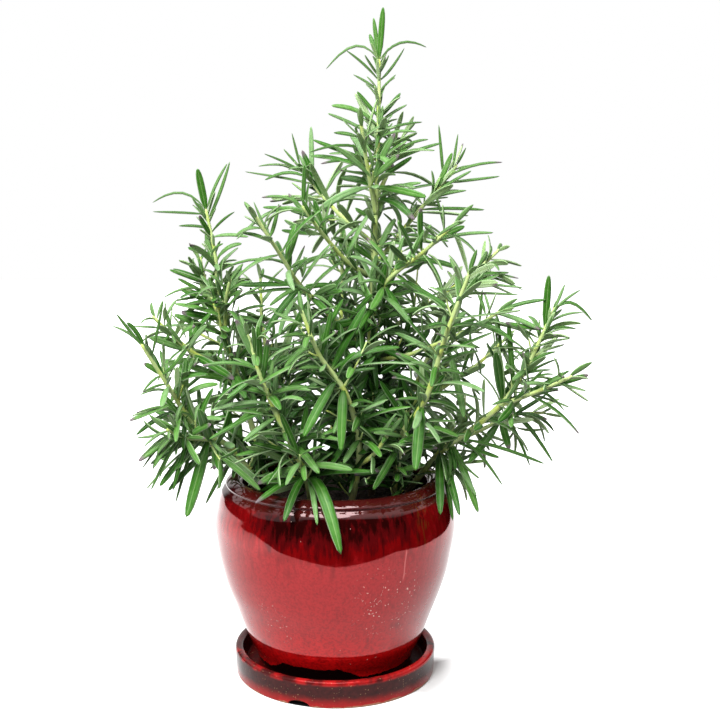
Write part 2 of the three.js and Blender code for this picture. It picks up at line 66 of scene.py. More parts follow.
# Light. The pot mirrors a white table top that ends near it, and a white wall behind.
WHITE = (1, 1, 1, 1)
AMBIENT = 0.36  # how bright the surround is to a surface that doesn't mirror it
WALL_SHARE = 0.8  # the wall is mirrored where a direction's share along +Y is above this
CEILING_SHARE = 0.66  # the ceiling light is mirrored where a direction's share along +Z is above this
CEILING_FLARE = (0.45, 0.35)  # how much lower it reaches at the left and right
CEILING = 1.1  # how bright its mirror image is
SHADOW_GLOW = (0.08, 0.95)  # the table's own glow in the shadow and beside it
# The edge of the white table as the pot mirrors it, in metres, from the back on the right to the far left
TABLE_EDGE = [
    (0.4, 3), (0.37, 0.19), (0.37, 0.045), (0.32, -0.05), (0.29, -0.13), (0.24, -0.19), (0.13, -0.183),
    (0, -0.187), (-0.1, -0.2), (-0.23, -0.212), (-0.6, -0.33), (-2.7, -0.72), (-3, -0.8),
]
FAR = 3.0  # half the width of the table

TURNED_SIDES = 160  # round the saucer and the pot

# Saucer
SAUCER_HEIGHT = 15.2
SAUCER_TOP_RADIUS = 58
SAUCER_BASE_RADIUS = 57.4
SAUCER_WALL = 5
SAUCER_FLOOR = 5.5
NOTCH_WIDTH = 13
NOTCH_HEIGHT = 3.5
NOTCH_DEPTH = 6
NOTCH_TURN = 250  # degrees round from +X
NOTCH_SIDES = 32

# Pot: points of its section, radius and height
POT_FOOT = 5.8
POT_INNER_FLOOR = 12.3
DRAIN_RADIUS = 6
LIP_INNER_RADIUS = 52
POT_RIM_HEIGHT = 114.7
POT_OUTSIDE = [
    (42, 5.8), (44.8, 9), (46.4, 14.5), (50.5, 22.5), (57.7, 42), (62.8, 56),
    (66.2, 70), (68.8, 88), (67.3, 100), (64.5, 107.5), (62.2, 111),
]
POT_LIP = [(60.4, 113.5), (57.8, 114.7), (54.6, 114.1), (52, 111.5), (53, 107.7)]
# A fine groove sets the lip off from the shoulder, in place of the last two points outside.
POT_GROOVE = [(65.3, 106.3), (63.9, 108.5), (62.4, 109.9), (61.9, 110.5), (62.4, 111.2), (62.1, 112.1)]
POT_INSIDE = [(61.3, 98), (62.8, 86), (60.2, 70), (51.7, 42), (44.5, 23), (37, 12.3)]

# Soil
SOIL_TOP = 101
SOIL_CROWN = 1.4  # how much higher the middle is
SOIL_CURVE = 1250  # radius squared, over this, is how far the soil lies below its middle
HOLE_DEPTH = 14
GAP = 0.3
SOIL_SIDES = 128
CRUMBS = 420
CRUMB_REACH = 49  # from the middle
CRUMB_SIZE = (0.5, 1.7)

# Colours of the glazes. The reds of the pot have their height, in tenths of a metre; they grow lighter
# towards the foot, painted light on the red glaze.
GLAZE_REDS_WITH_PAINTED_LIGHT = [(0.15, (0.56, 0.004, 0.005)), (0.42, (0.37, 0.005, 0.006)), (0.7, (0.31, 0.006, 0.008))]
GLAZE_CLOUD = (0.19, 0.002, 0.003)
GLAZE_DARKS = [  # from and to which darkness each comes in
    (0, 0.3, (0.2, 0.002, 0.003)),
    (0.3, 0.6, (0.09, 0.002, 0.003)),
    (0.6, 1, (0.018, 0.001, 0.001)),
]
LIP_BROWN = (0.06, 0.005, 0.005)
RUST = (0.14, 0.035, 0.006)
PIT_BROWN = (0.09, 0.004, 0.004)
CHIP_PALE = (0.66, 0.42, 0.36)
RUN_PALE = (0.7, 0.2, 0.18)
# painted shade on the foot of the pot, low at the front left
FOOT_PAINTED_SHADE = (0.004, 0.001, 0.001)
# Each pair of these is blended by a cloud.
WALL_BROWNS = [(0.012, 0.004, 0.004), (0.065, 0.01, 0.009)]
EDGE_REDS = [(0.42, 0.01, 0.01), (0.26, 0.008, 0.008)]
RIM_REDS = [(0.05, 0.006, 0.006), (0.36, 0.01, 0.01)]
# the trough's pair runs to near black: painted shade on the red glaze
TROUGH_REDS_IN_PAINTED_SHADE = [(0.004, 0.001, 0.001), (0.09, 0.004, 0.004)]
SPECK_TAN = (0.4, 0.25, 0.12)
CLAY = (0.4, 0.2, 0.12)
# painted shade inside the saucer's notch
NOTCH_PAINTED_SHADE = (0.006, 0.001, 0.001)
SPECK_WOBBLE = 1.6  # waves in the outline of a speck, per width of its cell

# Colours of the soil, the leaves and the stems
SOIL_BROWNS = [(0.3, (0.006, 0.004, 0.003)), (0.55, (0.022, 0.014, 0.009)), (0.8, (0.07, 0.045, 0.028))]
GRIT = (0.3, 0.22, 0.15)
TOP_GREENS = [
    (0.15, (0.012, 0.07, 0.003)), (0.4, (0.036, 0.135, 0.012)), (0.6, (0.07, 0.19, 0.03)),
    (0.85, (0.17, 0.29, 0.13)),
]
YOUNG_GREENS = [(0.025, 0.09, 0.006), (0.11, 0.21, 0.07)]
GROOVE_GREEN = (0.28, 0.4, 0.16)
MARGIN_GREEN = (0.4, 0.5, 0.3)
ROOT_GREEN = (0.4, 0.5, 0.2)
# painted shade for the upper faces deep inside the plant
TOP_PAINTED_SHADE = (0.008, 0.05, 0.001)
DRY_TOP = (0.13, 0.1, 0.11)
FELT_GREENS = [(0.16, 0.33, 0.07), (0.4, 0.54, 0.29)]
FELT_PALE = (0.5, 0.62, 0.38)
RIB_GREEN = (0.22, 0.34, 0.09)
# painted shade for the under faces deep inside the plant
UNDER_PAINTED_SHADE = (0.012, 0.06, 0.002)
DRY_UNDER = (0.16, 0.13, 0.13)
STEM_GREENS = [(0.31, 0.43, 0.1), (0.53, 0.63, 0.29)]
STEM_YELLOW = (0.45, 0.54, 0.1)
STEM_BROWNS = [(0.05, 0.03, 0.016), (0.2, 0.13, 0.07)]

# Stems
COLLAR = 2.5  # the height above the soil at which a stem's route starts
FOOT_RADIUS = 2.1
SHOOT_RADIUS = 1.4
TIP_RADIUS = 0.9
SPRIG_RADIUS = 0.6
STEM_SIDES = 10
STEM_STEP = 2.5  # from ring to ring

# Leaves, by the same rule as the solids'
LEAF_LENGTH = 32
LENGTH_SPREAD = (0.75, 1.15)
LEAF_WIDTH = 3.8
WIDTH_SPREAD = (0.85, 1.2)
RIPE = 26  # distance from the tip at which leaves are full grown
YOUNG_LENGTH = 0.4
YOUNG_WIDTH = 0.7
YOUNG_LEAN = 24
OLD_LEAN = 60
LEAN_SPREAD = (-12, 12)
CURL_SPREAD = (-10, 60)
TURN_SPREAD = (-20, 20)
DROOP = 0.08
NODE_SPACING = 11
TIP_SPACING = 6.5
FIRST_PAIR = 1.5
ROOT_OFFSET = 0.35  # from the stem's middle to the leaf's root
BARE_STEM = 16  # length without leaves at the foot
BARE_SHOOT = 7
LEAF_GAP = 0.4
CURVE_SAMPLES = 200

# The way that the upper face of a listed leaf is turned: up, and to the front
FACING = (0, -0.7, 0.7)


def shoot(start, route, filled=0, leaves=()):
    return dict(start=start, route=route, filled=filled, leaves=leaves)


# Routes of the stems and shoots, as in the solids. A shoot leaves its stem at the height start. The listed
# leaves have the height of the root, the tip, how far the leaf arches up, and its width. They fill
# the length filled at the tip.
PLANTS = [
    dict(
        name="rosemary_main",
        route=[(21, 2), (20, 4, 157), (20, 4, 201), (22, 5, 242), (23, 4, 275), (24, 4, 324), (24, 5, 345)],
        filled=43,
        shoots=[
            shoot(132, [(36, -10, 148), (46, -22, 164)]),
            shoot(140, [(6, -14, 158), (-2, -24, 176)]),
            shoot(152, [(34, 14, 170), (40, 24, 190)]),
            shoot(179, [(42, -8, 185), (73, -18, 200), (88, -24, 210)]),
            shoot(184, [(-15, -22, 220), (-29, -36, 242), (-41, -45, 262)]),
            shoot(190, [(48, 22, 206), (80, 40, 225), (98, 48, 240)]),
            shoot(197, [(27, -14, 224), (47, -32, 243), (62, -43, 258)]),
            shoot(226, [(7, -8, 236), (-7, -18, 252), (-17, -24, 266)], 9, [
                (267, (-39, -24, 271), 6, 2), (263, (-38, -30, 266), 2, 2.6),
                (263, (-52, -32, 249), 16, 2.1), (268, (-16, -28, 288), 0, 2.4),
            ]),
            shoot(232, [(45, 12, 261), (56, 18, 273), (69, 23, 289)], 30, [
                (280, (59, 26, 312), 0, 1.9), (286, (70, 26, 307), 0, 1.6), (274, (66, 18, 296), 0, 3.2),
                (289, (74, 20, 299), 0, 1.6), (282, (96, 28, 291), 6, 2), (274, (77, 18, 286), 1, 2.2),
                (279, (94, 24, 283), 0, 2), (273, (63, 14, 247), 8, 1.6), (264, (86, 26, 264), 2, 2.4),
            ]),
            shoot(244, [(1, 22, 263), (-10, 32, 275), (-20, 38, 288)], 12, [
                (288, (-25, 36, 308), 0, 1.4), (289, (-30, 40, 299), 0, 1.5), (285, (-41, 34, 296), 2, 1.4),
                (284, (-45, 40, 289), 7, 1.6), (281, (-41, 36, 281), 9, 2.4), (279, (-53, 42, 286), 1, 1.5),
                (271, (-19, 30, 298), 0, 3.8), (279, (-14, 42, 312), 0, 3),
            ]),
            shoot(261, [(17, -6, 291), (14, -12, 310)]),
            shoot(270, [(31, 14, 289), (35, 20, 308)]),
        ],
        leaves=[
            (344, (26, 4, 373), 0, 3.4), (345, (21, 8, 368), 0, 2.5), (345, (19, 12, 360), 0, 2.9),
            (345, (-5, 3, 340), 20, 1.6), (345, (50, 6, 352), 13, 1.6), (333, (6, 2, 350), 3, 1.5),
            (333, (38, 8, 352), -3, 1.5), (336, (16, -3, 347), 0, 1.8), (337, (29, -2, 347), 0, 1.5),
            (328, (10, 10, 338), 2, 1.4), (327, (33, 0, 337), 1, 1.4), (314, (12, 0, 328), 0, 3),
            (313, (36, 8, 328), 0, 2.9), (309, (-2, -6, 320), 7, 3.5), (311, (40, 12, 322), 2, 1.9),
            (302, (-4, -6, 316), 3, 2.4), (304, (48, 4, 312), 4, 1.8), (302, (44, -8, 306), 5, 2),
        ],
    ),
    dict(
        name="rosemary_left_tall",
        route=[(-38, 12), (-55, 14, 164), (-66, 16, 201), (-68, 16, 236), (-73, 16, 264)],
        filled=32,
        shoots=[
            shoot(173, [(-76, 2, 182), (-89, -6, 194), (-100, -11, 206)]),
            shoot(189, [(-61, 2, 214), (-58, -4, 226)]),
            shoot(204, [(-75, 27, 221), (-79, 33, 236)]),
        ],
        leaves=[
            (263, (-77, 12, 287), 0, 4.3), (264, (-61, 20, 290), 5, 1.9), (259, (-59, 14, 291), -5, 2.2),
            (264, (-103, 14, 268), 16, 1.5), (261, (-104, 20, 263), 1, 1.5), (259, (-80, 10, 271), 0, 1.9),
            (249, (-76, 8, 261), 0, 3.7), (253, (-89, 18, 255), 2, 1.9), (251, (-57, 18, 263), 3, 1.4),
            (248, (-49, 14, 249), 3, 2.5), (235, (-83, 10, 243), 4, 2.9), (235, (-53, 16, 245), 6, 2.9),
        ],
    ),
    dict(
        name="rosemary_left_low",
        route=[(-42, -12), (-55, -19, 132), (-75, -32, 149), (-88, -44, 174), (-99, -54, 196)],
        filled=26,
        shoots=[shoot(140, [(-78, -46, 146), (-86, -60, 153)])],
        leaves=[
            (143, (-78, -54, 105), 1, 6.4), (142, (-96, -56, 134), 7, 3.6), (138, (-88, -50, 118), 7, 3.8),
            (195, (-111, -58, 213), 0, 1.9), (196, (-114, -54, 206), 4, 1.4),
            (192, (-106, -56, 208), 6, 2.6), (179, (-99, -50, 186), 2, 3.5), (188, (-88, -50, 219), 0, 1.4),
            (179, (-76, -54, 194), -2, 2.5), (174, (-99, -56, 172), 2, 1.6),
        ],
    ),
    dict(
        name="rosemary_front_left",
        route=[(-12, -34), (-16, -42, 126), (-28, -50, 154), (-38, -54, 179), (-45, -56, 203)],
        leaves=[
            (122, (3, -79, 93), 23, 6.6), (124, (-26, -72, 108), 9, 4.4), (124, (-41, -66, 116), 5, 3.6),
            (123, (19, -55, 130), 4, 3.4), (121, (-9, -72, 106), 13, 3),
        ],
    ),
    dict(
        name="rosemary_front_mid",
        route=[(9, -24), (13, -38, 138), (6, -48, 169), (-8, -54, 191), (-17, -58, 214)],
        shoots=[shoot(128, [(20, -44, 136), (27, -52, 148)])],
    ),
    dict(
        name="rosemary_front_right",
        route=[(33, -16), (36, -32, 143), (48, -43, 167), (57, -52, 201), (68, -58, 234)],
        leaves=[(162, (41, -66, 133), 5, 6)],
    ),
    dict(
        name="rosemary_right_low",
        route=[(42, 4), (59, -8, 129), (83, -19, 151), (100, -24, 173), (118, -24, 212)],
        filled=17,
        shoots=[
            shoot(135, [(84, -4, 142), (101, 4, 148), (121, 12, 148)]),
            shoot(158, [(107, -34, 168), (124, -43, 178)]),
        ],
        leaves=[
            (160, (85, -36, 190), 2, 5.4), (128, (66, -48, 104), 10, 4), (200, (114, -26, 230), 0, 4),
            (212, (124, -20, 225), 0, 1.8), (211, (132, -22, 222), 2, 1.5), (210, (139, -22, 205), 15, 2.5),
            (203, (133, -26, 210), 5, 1.5), (199, (130, -24, 201), 4, 1.8), (201, (91, -28, 205), -1, 3.4),
        ],
    ),
    dict(
        name="rosemary_back_left",
        route=[(-20, 34), (-34, 50, 150), (-44, 60, 188), (-46, 66, 222)],
        shoots=[shoot(140, [(-48, 44, 162), (-66, 48, 180), (-84, 52, 190)])],
    ),
    dict(
        name="rosemary_back_mid",
        route=[(2, 42), (-2, 60, 150), (4, 70, 200), (4, 74, 250)],
        shoots=[shoot(150, [(-14, 74, 172), (-22, 84, 190)])],
    ),
    dict(
        name="rosemary_back_right",
        route=[(28, 32), (44, 50, 145), (60, 60, 180), (68, 68, 214)],
        shoots=[shoot(140, [(66, 42, 158), (86, 42, 172), (102, 46, 186)])],
    ),
]

# Leaves beside those of the solids, listed in the same way by plant and branch. Branch 0 is the stem.
MORE_LEAVES = {
    ("rosemary_main", 0): [
        (289, (-12, -6, 302), 0, 3.4), (293, (-14, -10, 295), 11, 2), (284, (-8, -8, 289), 9, 2.2),
        (281, (2, -4, 286), 1, 1.6), (275, (3, 12, 282), 4, 5), (280, (42, -2, 293), 0, 3.6),
        (270, (47, -6, 279), 5, 3), (268, (43, -14, 259), 9, 4.6), (259, (11, -10, 265), 0, 5),
        (207, (45, -10, 189), 2, 3.3), (206, (43, -6, 194), 3, 2.6),
    ],
    ("rosemary_main", 4): [
        (207, (113, -26, 217), 5, 2.6), (209, (110, -28, 201), 3, 3.2), (202, (96, -30, 194), 7, 3),
        (209, (90, -24, 188), 5, 2.2), (209, (87, -26, 191), 3, 1.6), (203, (80, -16, 222), 0, 1.8),
        (207, (81, -14, 220), 4, 1.6),
    ],
    ("rosemary_main", 5): [
        (250, (-46, -42, 267), 0, 1.8), (250, (-42, -40, 269), 0, 1.6), (250, (-29, -38, 268), -4, 2.2),
        (247, (-48, -40, 253), 3, 2.4), (236, (-19, -32, 256), 0, 2.6), (233, (-24, -32, 247), 0, 2.8),
        (231, (-16, -28, 246), 0, 1.8), (222, (-40, -30, 231), 0, 2.4), (222, (-48, -30, 220), 3, 2.2),
        (223, (-37, -36, 200), 6, 4.2), (223, (-35, -30, 214), 4, 2.8), (236, (-40, -34, 240), 2, 1.6),
    ],
    ("rosemary_main", 6): [
        (226, (108, 34, 224), 3, 1.8), (222, (110, 30, 219), 0, 2), (226, (111, 34, 217), 4, 1.5),
        (214, (107, 26, 215), 3, 2),
    ],
    ("rosemary_main", 7): [(248, (82, -40, 253), 4, 2.2), (224, (39, -22, 204), 0, 4.2)],
    ("rosemary_main", 12): [(293, (52, 12, 303), 6, 2), (290, (59, 8, 301), 3, 2.4)],
    ("rosemary_left_tall", 0): [(201, (-87, 6, 207), 1, 5.6), (228, (-25, 6, 235), 10, 1.8)],
    ("rosemary_left_tall", 1): [
        (204, (-95, -8, 215), 2, 1.6), (196, (-96, -10, 188), 3, 2), (190, (-97, -4, 202), 0, 1.8),
    ],
    ("rosemary_left_tall", 2): [(211, (-34, 6, 225), 2, 1.8)],
    ("rosemary_left_tall", 3): [
        (221, (-95, 20, 230), 1, 2.8), (219, (-84, 20, 234), 0, 2.8), (216, (-97, 8, 215), 9, 1.8),
        (214, (-91, 10, 213), 2, 2), (214, (-90, 18, 225), 1, 2.8), (209, (-88, 14, 219), 1, 3),
    ],
    ("rosemary_left_low", 0): [
        (157, (-105, -45, 147), 8, 3), (160, (-104, -50, 160), 4, 1.6), (141, (-65, -36, 126), 2, 3.4),
        (130, (-70, -36, 107), 7, 2.4), (130, (-64, -32, 114), 7, 2.4), (179, (-100, -52, 171), 3, 1.8),
        (168, (-102, -48, 169), 6, 1.6), (165, (-80, -52, 179), 0, 3), (131, (-63, -12, 164), 0, 4.2),
        (139, (-73, -30, 160), 0, 2.2), (141, (-39, -32, 162), 0, 2.6), (128, (-59, -14, 143), 0, 4),
        (182, (-97, -52, 196), 0, 3.4), (176, (-95, -50, 192), 0, 3),
    ],
    ("rosemary_left_low", 1): [
        (147, (-101, -62, 137), 5, 4), (150, (-98, -66, 141), 4, 1.6), (149, (-100, -58, 132), 7, 1.6),
        (148, (-93, -64, 134), 5, 2.2), (146, (-96, -56, 120), 10, 2.2), (145, (-85, -52, 119), 8, 2.9),
        (153, (-101, -64, 150), -2, 1.6), (152, (-97, -68, 146), 4, 1.5), (147, (-91, -60, 127), 8, 1.8),
        (144, (-85, -44, 110), 5, 2),
    ],
    ("rosemary_front_left", 0): [
        (188, (-50, -60, 210), 0, 3.6), (179, (-39, -60, 207), 0, 3.2), (177, (-34, -62, 200), 0, 3.2),
        (162, (-30, -60, 186), 0, 2.8), (153, (-26, -60, 172), 0, 2.6), (183, (-68, -58, 186), 6, 2.4),
        (165, (-64, -60, 163), 5, 2.6), (163, (-65, -60, 148), 3, 2.9), (158, (-47, -64, 148), 2, 2.9),
        (181, (-55, -64, 170), 1, 3.1), (167, (-12, -62, 174), 7, 2.6), (141, (3, -62, 148), 8, 3),
        (136, (-43, -58, 146), 2, 3.2), (142, (-8, -64, 131), 4, 4.3),
    ],
    ("rosemary_front_mid", 0): [
        (178, (-16, -68, 151), 4, 5.2), (172, (3, -66, 143), 9, 5.2), (164, (-1, -60, 151), 4, 3.4),
        (148, (-3, -52, 131), 5, 3.6), (162, (36, -50, 158), 5, 1.9), (157, (33, -46, 152), 4, 3.6),
        (150, (32, -48, 145), 4, 3.6), (182, (16, -44, 216), 2, 4.6), (182, (34, -46, 194), 8, 4),
        (180, (21, -52, 184), 1, 2.2), (178, (-15, -54, 183), 0, 1.9), (187, (-27, -56, 184), 3, 2.3),
        (195, (-26, -58, 185), 7, 3.6), (193, (4, -56, 220), 3, 3), (189, (-2, -60, 214), 0, 3.1),
    ],
    ("rosemary_front_right", 0): [
        (141, (12, -46, 137), 3, 3.9), (141, (24, -46, 137), 1, 2.6), (139, (24, -50, 124), 4, 4.3),
        (179, (31, -54, 192), 4, 2.6), (165, (31, -50, 167), 2, 2), (171, (28, -44, 181), 1, 2.6),
    ],
    ("rosemary_right_low", 0): [
        (135, (79, -25, 99), 5, 4.4), (128, (56, -46, 104), 12, 5), (128, (64, -34, 97), 12, 3),
        (138, (93, -20, 113), 8, 2), (138, (117, -14, 124), 4, 2.4), (128, (81, -16, 116), 3, 1.6),
        (132, (79, -24, 118), 1, 1.6), (168, (93, -26, 205), 0, 3.2), (174, (104, -26, 191), 0, 3),
        (173, (120, -26, 185), 3, 1.5), (176, (117, -26, 179), 2, 1.5), (192, (122, -24, 198), -2, 1.6),
        (134, (66, -26, 124), 0, 3.4), (130, (78, -24, 108), 8, 3),
    ],
    ("rosemary_right_low", 1): [
        (146, (74, -16, 125), 0, 4.8), (148, (124, -2, 122), 8, 2.4), (147, (110, -8, 121), 7, 2),
        (148, (118, 6, 133), 6, 1.5), (146, (98, -8, 131), 1, 4.6), (148, (120, 4, 160), 0, 2.6),
        (148, (121, 2, 146), 4, 2.6),
    ],
    ("rosemary_right_low", 2): [
        (160, (126, -36, 177), 1, 2.4), (160, (125, -34, 180), 0, 2.6), (164, (123, -34, 158), 14, 2),
        (160, (120, -34, 169), 5, 1.8),
    ],
}

# Open places between the leaves. They are measured as seen from the front, on the upright plane through the
# pot's axis: x and height of the middle, half the width and half the height. The leaves that fill the plant
# out cross none of them.
OPEN_PLACES = [
    (-6, 286, 7, 5), (-3, 294, 9, 2), (43, 286, 9, 6), (32, 283, 3, 3), (49, 276, 4, 3), (-25, 267, 6, 2),
    (-42, 266, 8, 4), (-65, 259, 3, 5), (7, 264, 6, 6), (58, 260, 14, 2), (-57, 255, 8, 4), (0, 256, 3, 3),
    (15, 252, 3, 3), (27, 256, 3, 2), (-30, 250, 5, 8), (-84, 247, 6, 4), (-14, 245, 10, 4),
    (-47, 242, 14, 6), (60, 240, 4, 4), (74, 242, 7, 7), (-87, 234, 7, 4), (-8, 231, 8, 7),
    (-37, 231, 13, 5), (53, 227, 11, 5), (-41, 223, 7, 3), (-40, 215, 7, 5), (91, 213, 9, 3),
    (76, 210, 6, 5), (-103, 208, 7, 8), (85, 192, 6, 4), (-71, 192, 7, 5), (-56, 192, 3, 5),
    (53, 194, 4, 5), (102, 193, 4, 5), (43, 186, 4, 3), (-92, 184, 4, 3), (84, 179, 7, 7),
    (139, 173, 9, 11), (-104, 174, 7, 7), (43, 170, 6, 4), (86, 170, 4, 5), (-75, 167, 10, 5),
    (65, 163, 3, 4), (42, 162, 4, 3), (76, 160, 4, 5), (110, 158, 6, 3), (121, 154, 7, 5), (86, 152, 4, 3),
    (97, 150, 3, 5), (111, 145, 7, 3), (136, 146, 11, 12), (-51, 142, 10, 5), (107, 133, 4, 7),
    (98, 118, 9, 5), (85, 112, 7, 9), (-73, 112, 4, 6), (-96, 96, 6, 6), (97, 245, 6, 3), (97, 234, 7, 3),
    (135, 186, 10, 4), (127, 177, 4, 3), (108, 207, 7, 3), (-106, 166, 7, 3), (-116, 188, 7, 3),
    (-106, 199, 7, 3), (-29, 275, 8, 4), (70, 266, 8, 3),
]
BROAD_LEAF = 4.4  # nor do they pass in front of a listed leaf at least this wide

# What fills the plant out between the leaves of the rule
BETWEEN_GAP = 8  # a gap between pairs that takes another pair, in millimetres
SPRIG_CHANCE = 0.8
SPRIG_REACH = (2, 10)  # length of the young sprig in a leaf's axil
LONG_CHANCE = 0.2
LONG_REACH = (13, 28)
SPRIG_SHARE = 0.6  # of a long sprig's leaves have to find room, or it is left out
SHORT_SPRIG = 4  # length of the one that takes its place
SPRIG_SPACING = 6.5
LOW_SPRIGS = 6  # round the bare foot of each stem
INNER_SPRIGS = 14  # and higher up the stems at the back
INNER_REACH = 70
LOW_REACH = (8, 22)
TIP_STEP = 4.5
DRY_CHANCE = 0.1
TRIES = 4  # that a leaf has to find room

# The ranges of the added leaves, drawn in this order: angles in degrees, the turn in radians. The length and
# width are shares of a usual leaf's, or millimetres at the tips.
BETWEEN = dict(lean=(38, 66), curl=(0, 60), length=(0.7, 1.1), width=(0.8, 1.1), turn=(-0.5, 0.5))
YOUNG = dict(turn=(-0.5, 0.5), lean=(16, 34), curl=(0, 80), length=(0.8, 1.15), width=(0.85, 1.15))
SLENDER = dict(lean=(14, 34), length=(9, 17), curl=(0, 35), width=(1.6, 2.3))

# Seeds. A branch's seed for the rule is RULE_SEED times its plant's number from 1, plus its own number.
RULE_SEED = 1000
PLANT_SEED = 4000
EXTRA_SEED = 7000
SOIL_SEED = 5

# A narrow leaf is rolled to a section that is as high as that of a leaf this wide.
ROLLED = 4

# The section of a leaf from margin to margin: place across as a share of half the breadth, height as a share
# of the breadth. The upper face has a groove along its middle, and the margins are rolled under.
UPPER_SECTION = [(-1, -0.12), (-0.8, 0.01), (-0.3, 0.06), (0, -0.02), (0.3, 0.06), (0.8, 0.01), (1, -0.12)]
UNDER_SECTION = [(0.82, -0.2), (0.4, -0.1), (0, -0.16), (-0.4, -0.1), (-0.82, -0.2)]
SMALL_UPPER = [(-1, -0.1), (-0.5, 0.05), (0, -0.01), (0.5, 0.05), (1, -0.1)]
SMALL_UNDER = [(0.7, -0.17), (0, -0.1), (-0.7, -0.17)]
LEAF_RINGS = [0.05, 0.17, 0.32, 0.48, 0.64, 0.79, 0.9, 0.97]
SMALL_RINGS = [0.06, 0.3, 0.55, 0.78, 0.94]
SMALL_SPAN = 15  # a leaf shorter than this has the small section and rings

# The order of a plant's materials
TOP_SLOT, UNDER_SLOT, STEM_SLOT = 0, 1, 2


def mix(low, high, share):
    return low + (high - low) * share


def unit(vector):
    return vector / np.linalg.norm(vector)


def smooth(low, high, value):
    share = np.clip((value - low) / (high - low), 0, 1)
    return share * share * (3 - 2 * share)


# Meshes


def new_object(name, vertices, faces, materials, indices=None):
    """A shaded-smooth mesh object from points in millimetres."""
    mesh = bpy.data.meshes.new(name)
    mesh.from_pydata((np.asarray(vertices, float) * MM).tolist(), [], faces)
    for material in materials:
        mesh.materials.append(material)
    if indices is not None:
        mesh.polygons.foreach_set("material_index", indices)
    mesh.polygons.foreach_set("use_smooth", [True] * len(mesh.polygons))
    mesh.update()
    piece = bpy.data.objects.new(name, mesh)
    bpy.context.scene.collection.objects.link(piece)
    return piece


def dress(piece, node):
    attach(piece, "root")
    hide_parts(node)


def rounded(points, radii, steps=6):
    """The outline with each inner corner turned into an arc of about the given radius."""
    outline = [points[0]]
    for before, corner, after, radius in zip(points, points[1:], points[2:], radii):
        corner, before, after = np.array(corner, float), np.array(before, float), np.array(after, float)
        reach = min(radius, np.linalg.norm(before - corner) / 2.1, np.linalg.norm(after - corner) / 2.1)
        start = corner + unit(before - corner) * reach
        end = corner + unit(after - corner) * reach
        for share in np.linspace(0, 1, steps):
            outline.append((1 - share) ** 2 * start + 2 * share * (1 - share) * corner + share ** 2 * end)
    outline.append(points[-1])
    return [tuple(point) for point in outline]


def flowing(points, steps=8):
    """A smooth line through points, with extra points between them."""
    points = [np.array(point, float) for point in points]
    ends = [2 * points[0] - points[1], *points, 2 * points[-1] - points[-2]]
    line = []
    for a, b, c, d in zip(ends, ends[1:], ends[2:], ends[3:]):
        for t in np.arange(steps) / steps:
            line.append(0.5 * (2 * b + (c - a) * t + (2 * a - 5 * b + 4 * c - d) * t ** 2
                               + (3 * b - a - 3 * c + d) * t ** 3))
    return [tuple(point) for point in [*line, points[-1]]]


def lathe(section, sides, ring=False):
    """Points and faces of a turned body. A section that isn't a ring starts and ends on the axis."""
    turns = np.linspace(0, 2 * math.pi, sides, endpoint=False)
    vertices = []
    faces = []
    rows = []
    for radius, height in section:
        if radius == 0:
            rows.append([len(vertices)] * sides)
            vertices.append((0, 0, height))
        else:
            rows.append(list(range(len(vertices), len(vertices) + sides)))
            vertices.extend((radius * math.cos(turn), radius * math.sin(turn), height) for turn in turns)
    pairs = list(zip(rows, rows[1:]))
    if ring:
        pairs.append((rows[-1], rows[0]))
    for low, high in pairs:
        for i in range(sides):
            j = (i + 1) % sides
            corners = [low[i], low[j], high[j], high[i]]
            faces.append(list(dict.fromkeys(corners)))
    return np.array(vertices, float), faces


# Materials


class Value:
    """A number that nodes work out. Arithmetic signs add the nodes that combine it."""

    def __init__(self, tree, socket):
        self.tree = tree
        self.socket = socket

    def __add__(self, other):
        return self.tree.combine("ADD", self, other)

    def __sub__(self, other):
        return self.tree.combine("SUBTRACT", self, other)

    def __mul__(self, other):
        return self.tree.combine("MULTIPLY", self, other)

    def __abs__(self):
        return self.tree.combine("ABSOLUTE", self)


class Tree:
    """Short ways to add nodes to a material or to the world."""

    def __init__(self, tree):
        self.nodes = tree.nodes
        self.links = tree.links

    def add(self, kind, inputs=None, **settings):
        node = self.nodes.new(kind)
        for name, value in settings.items():
            setattr(node, name, value)
        for key, value in (inputs or {}).items():
            self.feed(node.inputs[key], value)
        return node

    def feed(self, socket, value):
        if isinstance(value, Value):
            self.links.new(value.socket, socket)
        elif isinstance(value, bpy.types.NodeSocket):
            self.links.new(value, socket)
        elif isinstance(value, tuple) and len(value) == 3 and socket.type == "RGBA":
            socket.default_value = (*value, 1)
        else:
            socket.default_value = value

    def combine(self, operation, *values):
        node = self.add("ShaderNodeMath", dict(enumerate(values)), operation=operation)
        return Value(self, node.outputs[0])

    def most(self, first, *rest):
        """The greatest of the values."""
        for value in rest:
            first = self.combine("MAXIMUM", first, value)
        return first

    def split(self, vector):
        outputs = self.add("ShaderNodeSeparateXYZ", {0: vector}).outputs
        return [Value(self, output) for output in outputs]

    def step(self, low, high, value, to=(0, 1), kind="SMOOTHSTEP"):
        """Rises from to[0] to to[1] as value goes from low to high."""
        inputs = {"Value": value, "From Min": low, "From Max": high, "To Min": to[0], "To Max": to[1]}
        return Value(self, self.add("ShaderNodeMapRange", inputs, interpolation_type=kind).outputs[0])

    def near(self, value, middle, inner, outer):
        """1 where value is within inner of the middle, and 0 beyond outer."""
        return self.step(outer, inner, abs(value - middle))

    def band(self, value, low, full, fading, high):
        """Rises from 0 to 1 between low and full, and falls back between fading and high."""
        return self.step(low, full, value) * self.step(high, fading, value)

    def between(self, share, low, high):
        """Goes from low to high as the share goes from 0 to 1."""
        return Value(self, self.add("ShaderNodeMix", {0: share, 2: low, 3: high}).outputs[0])


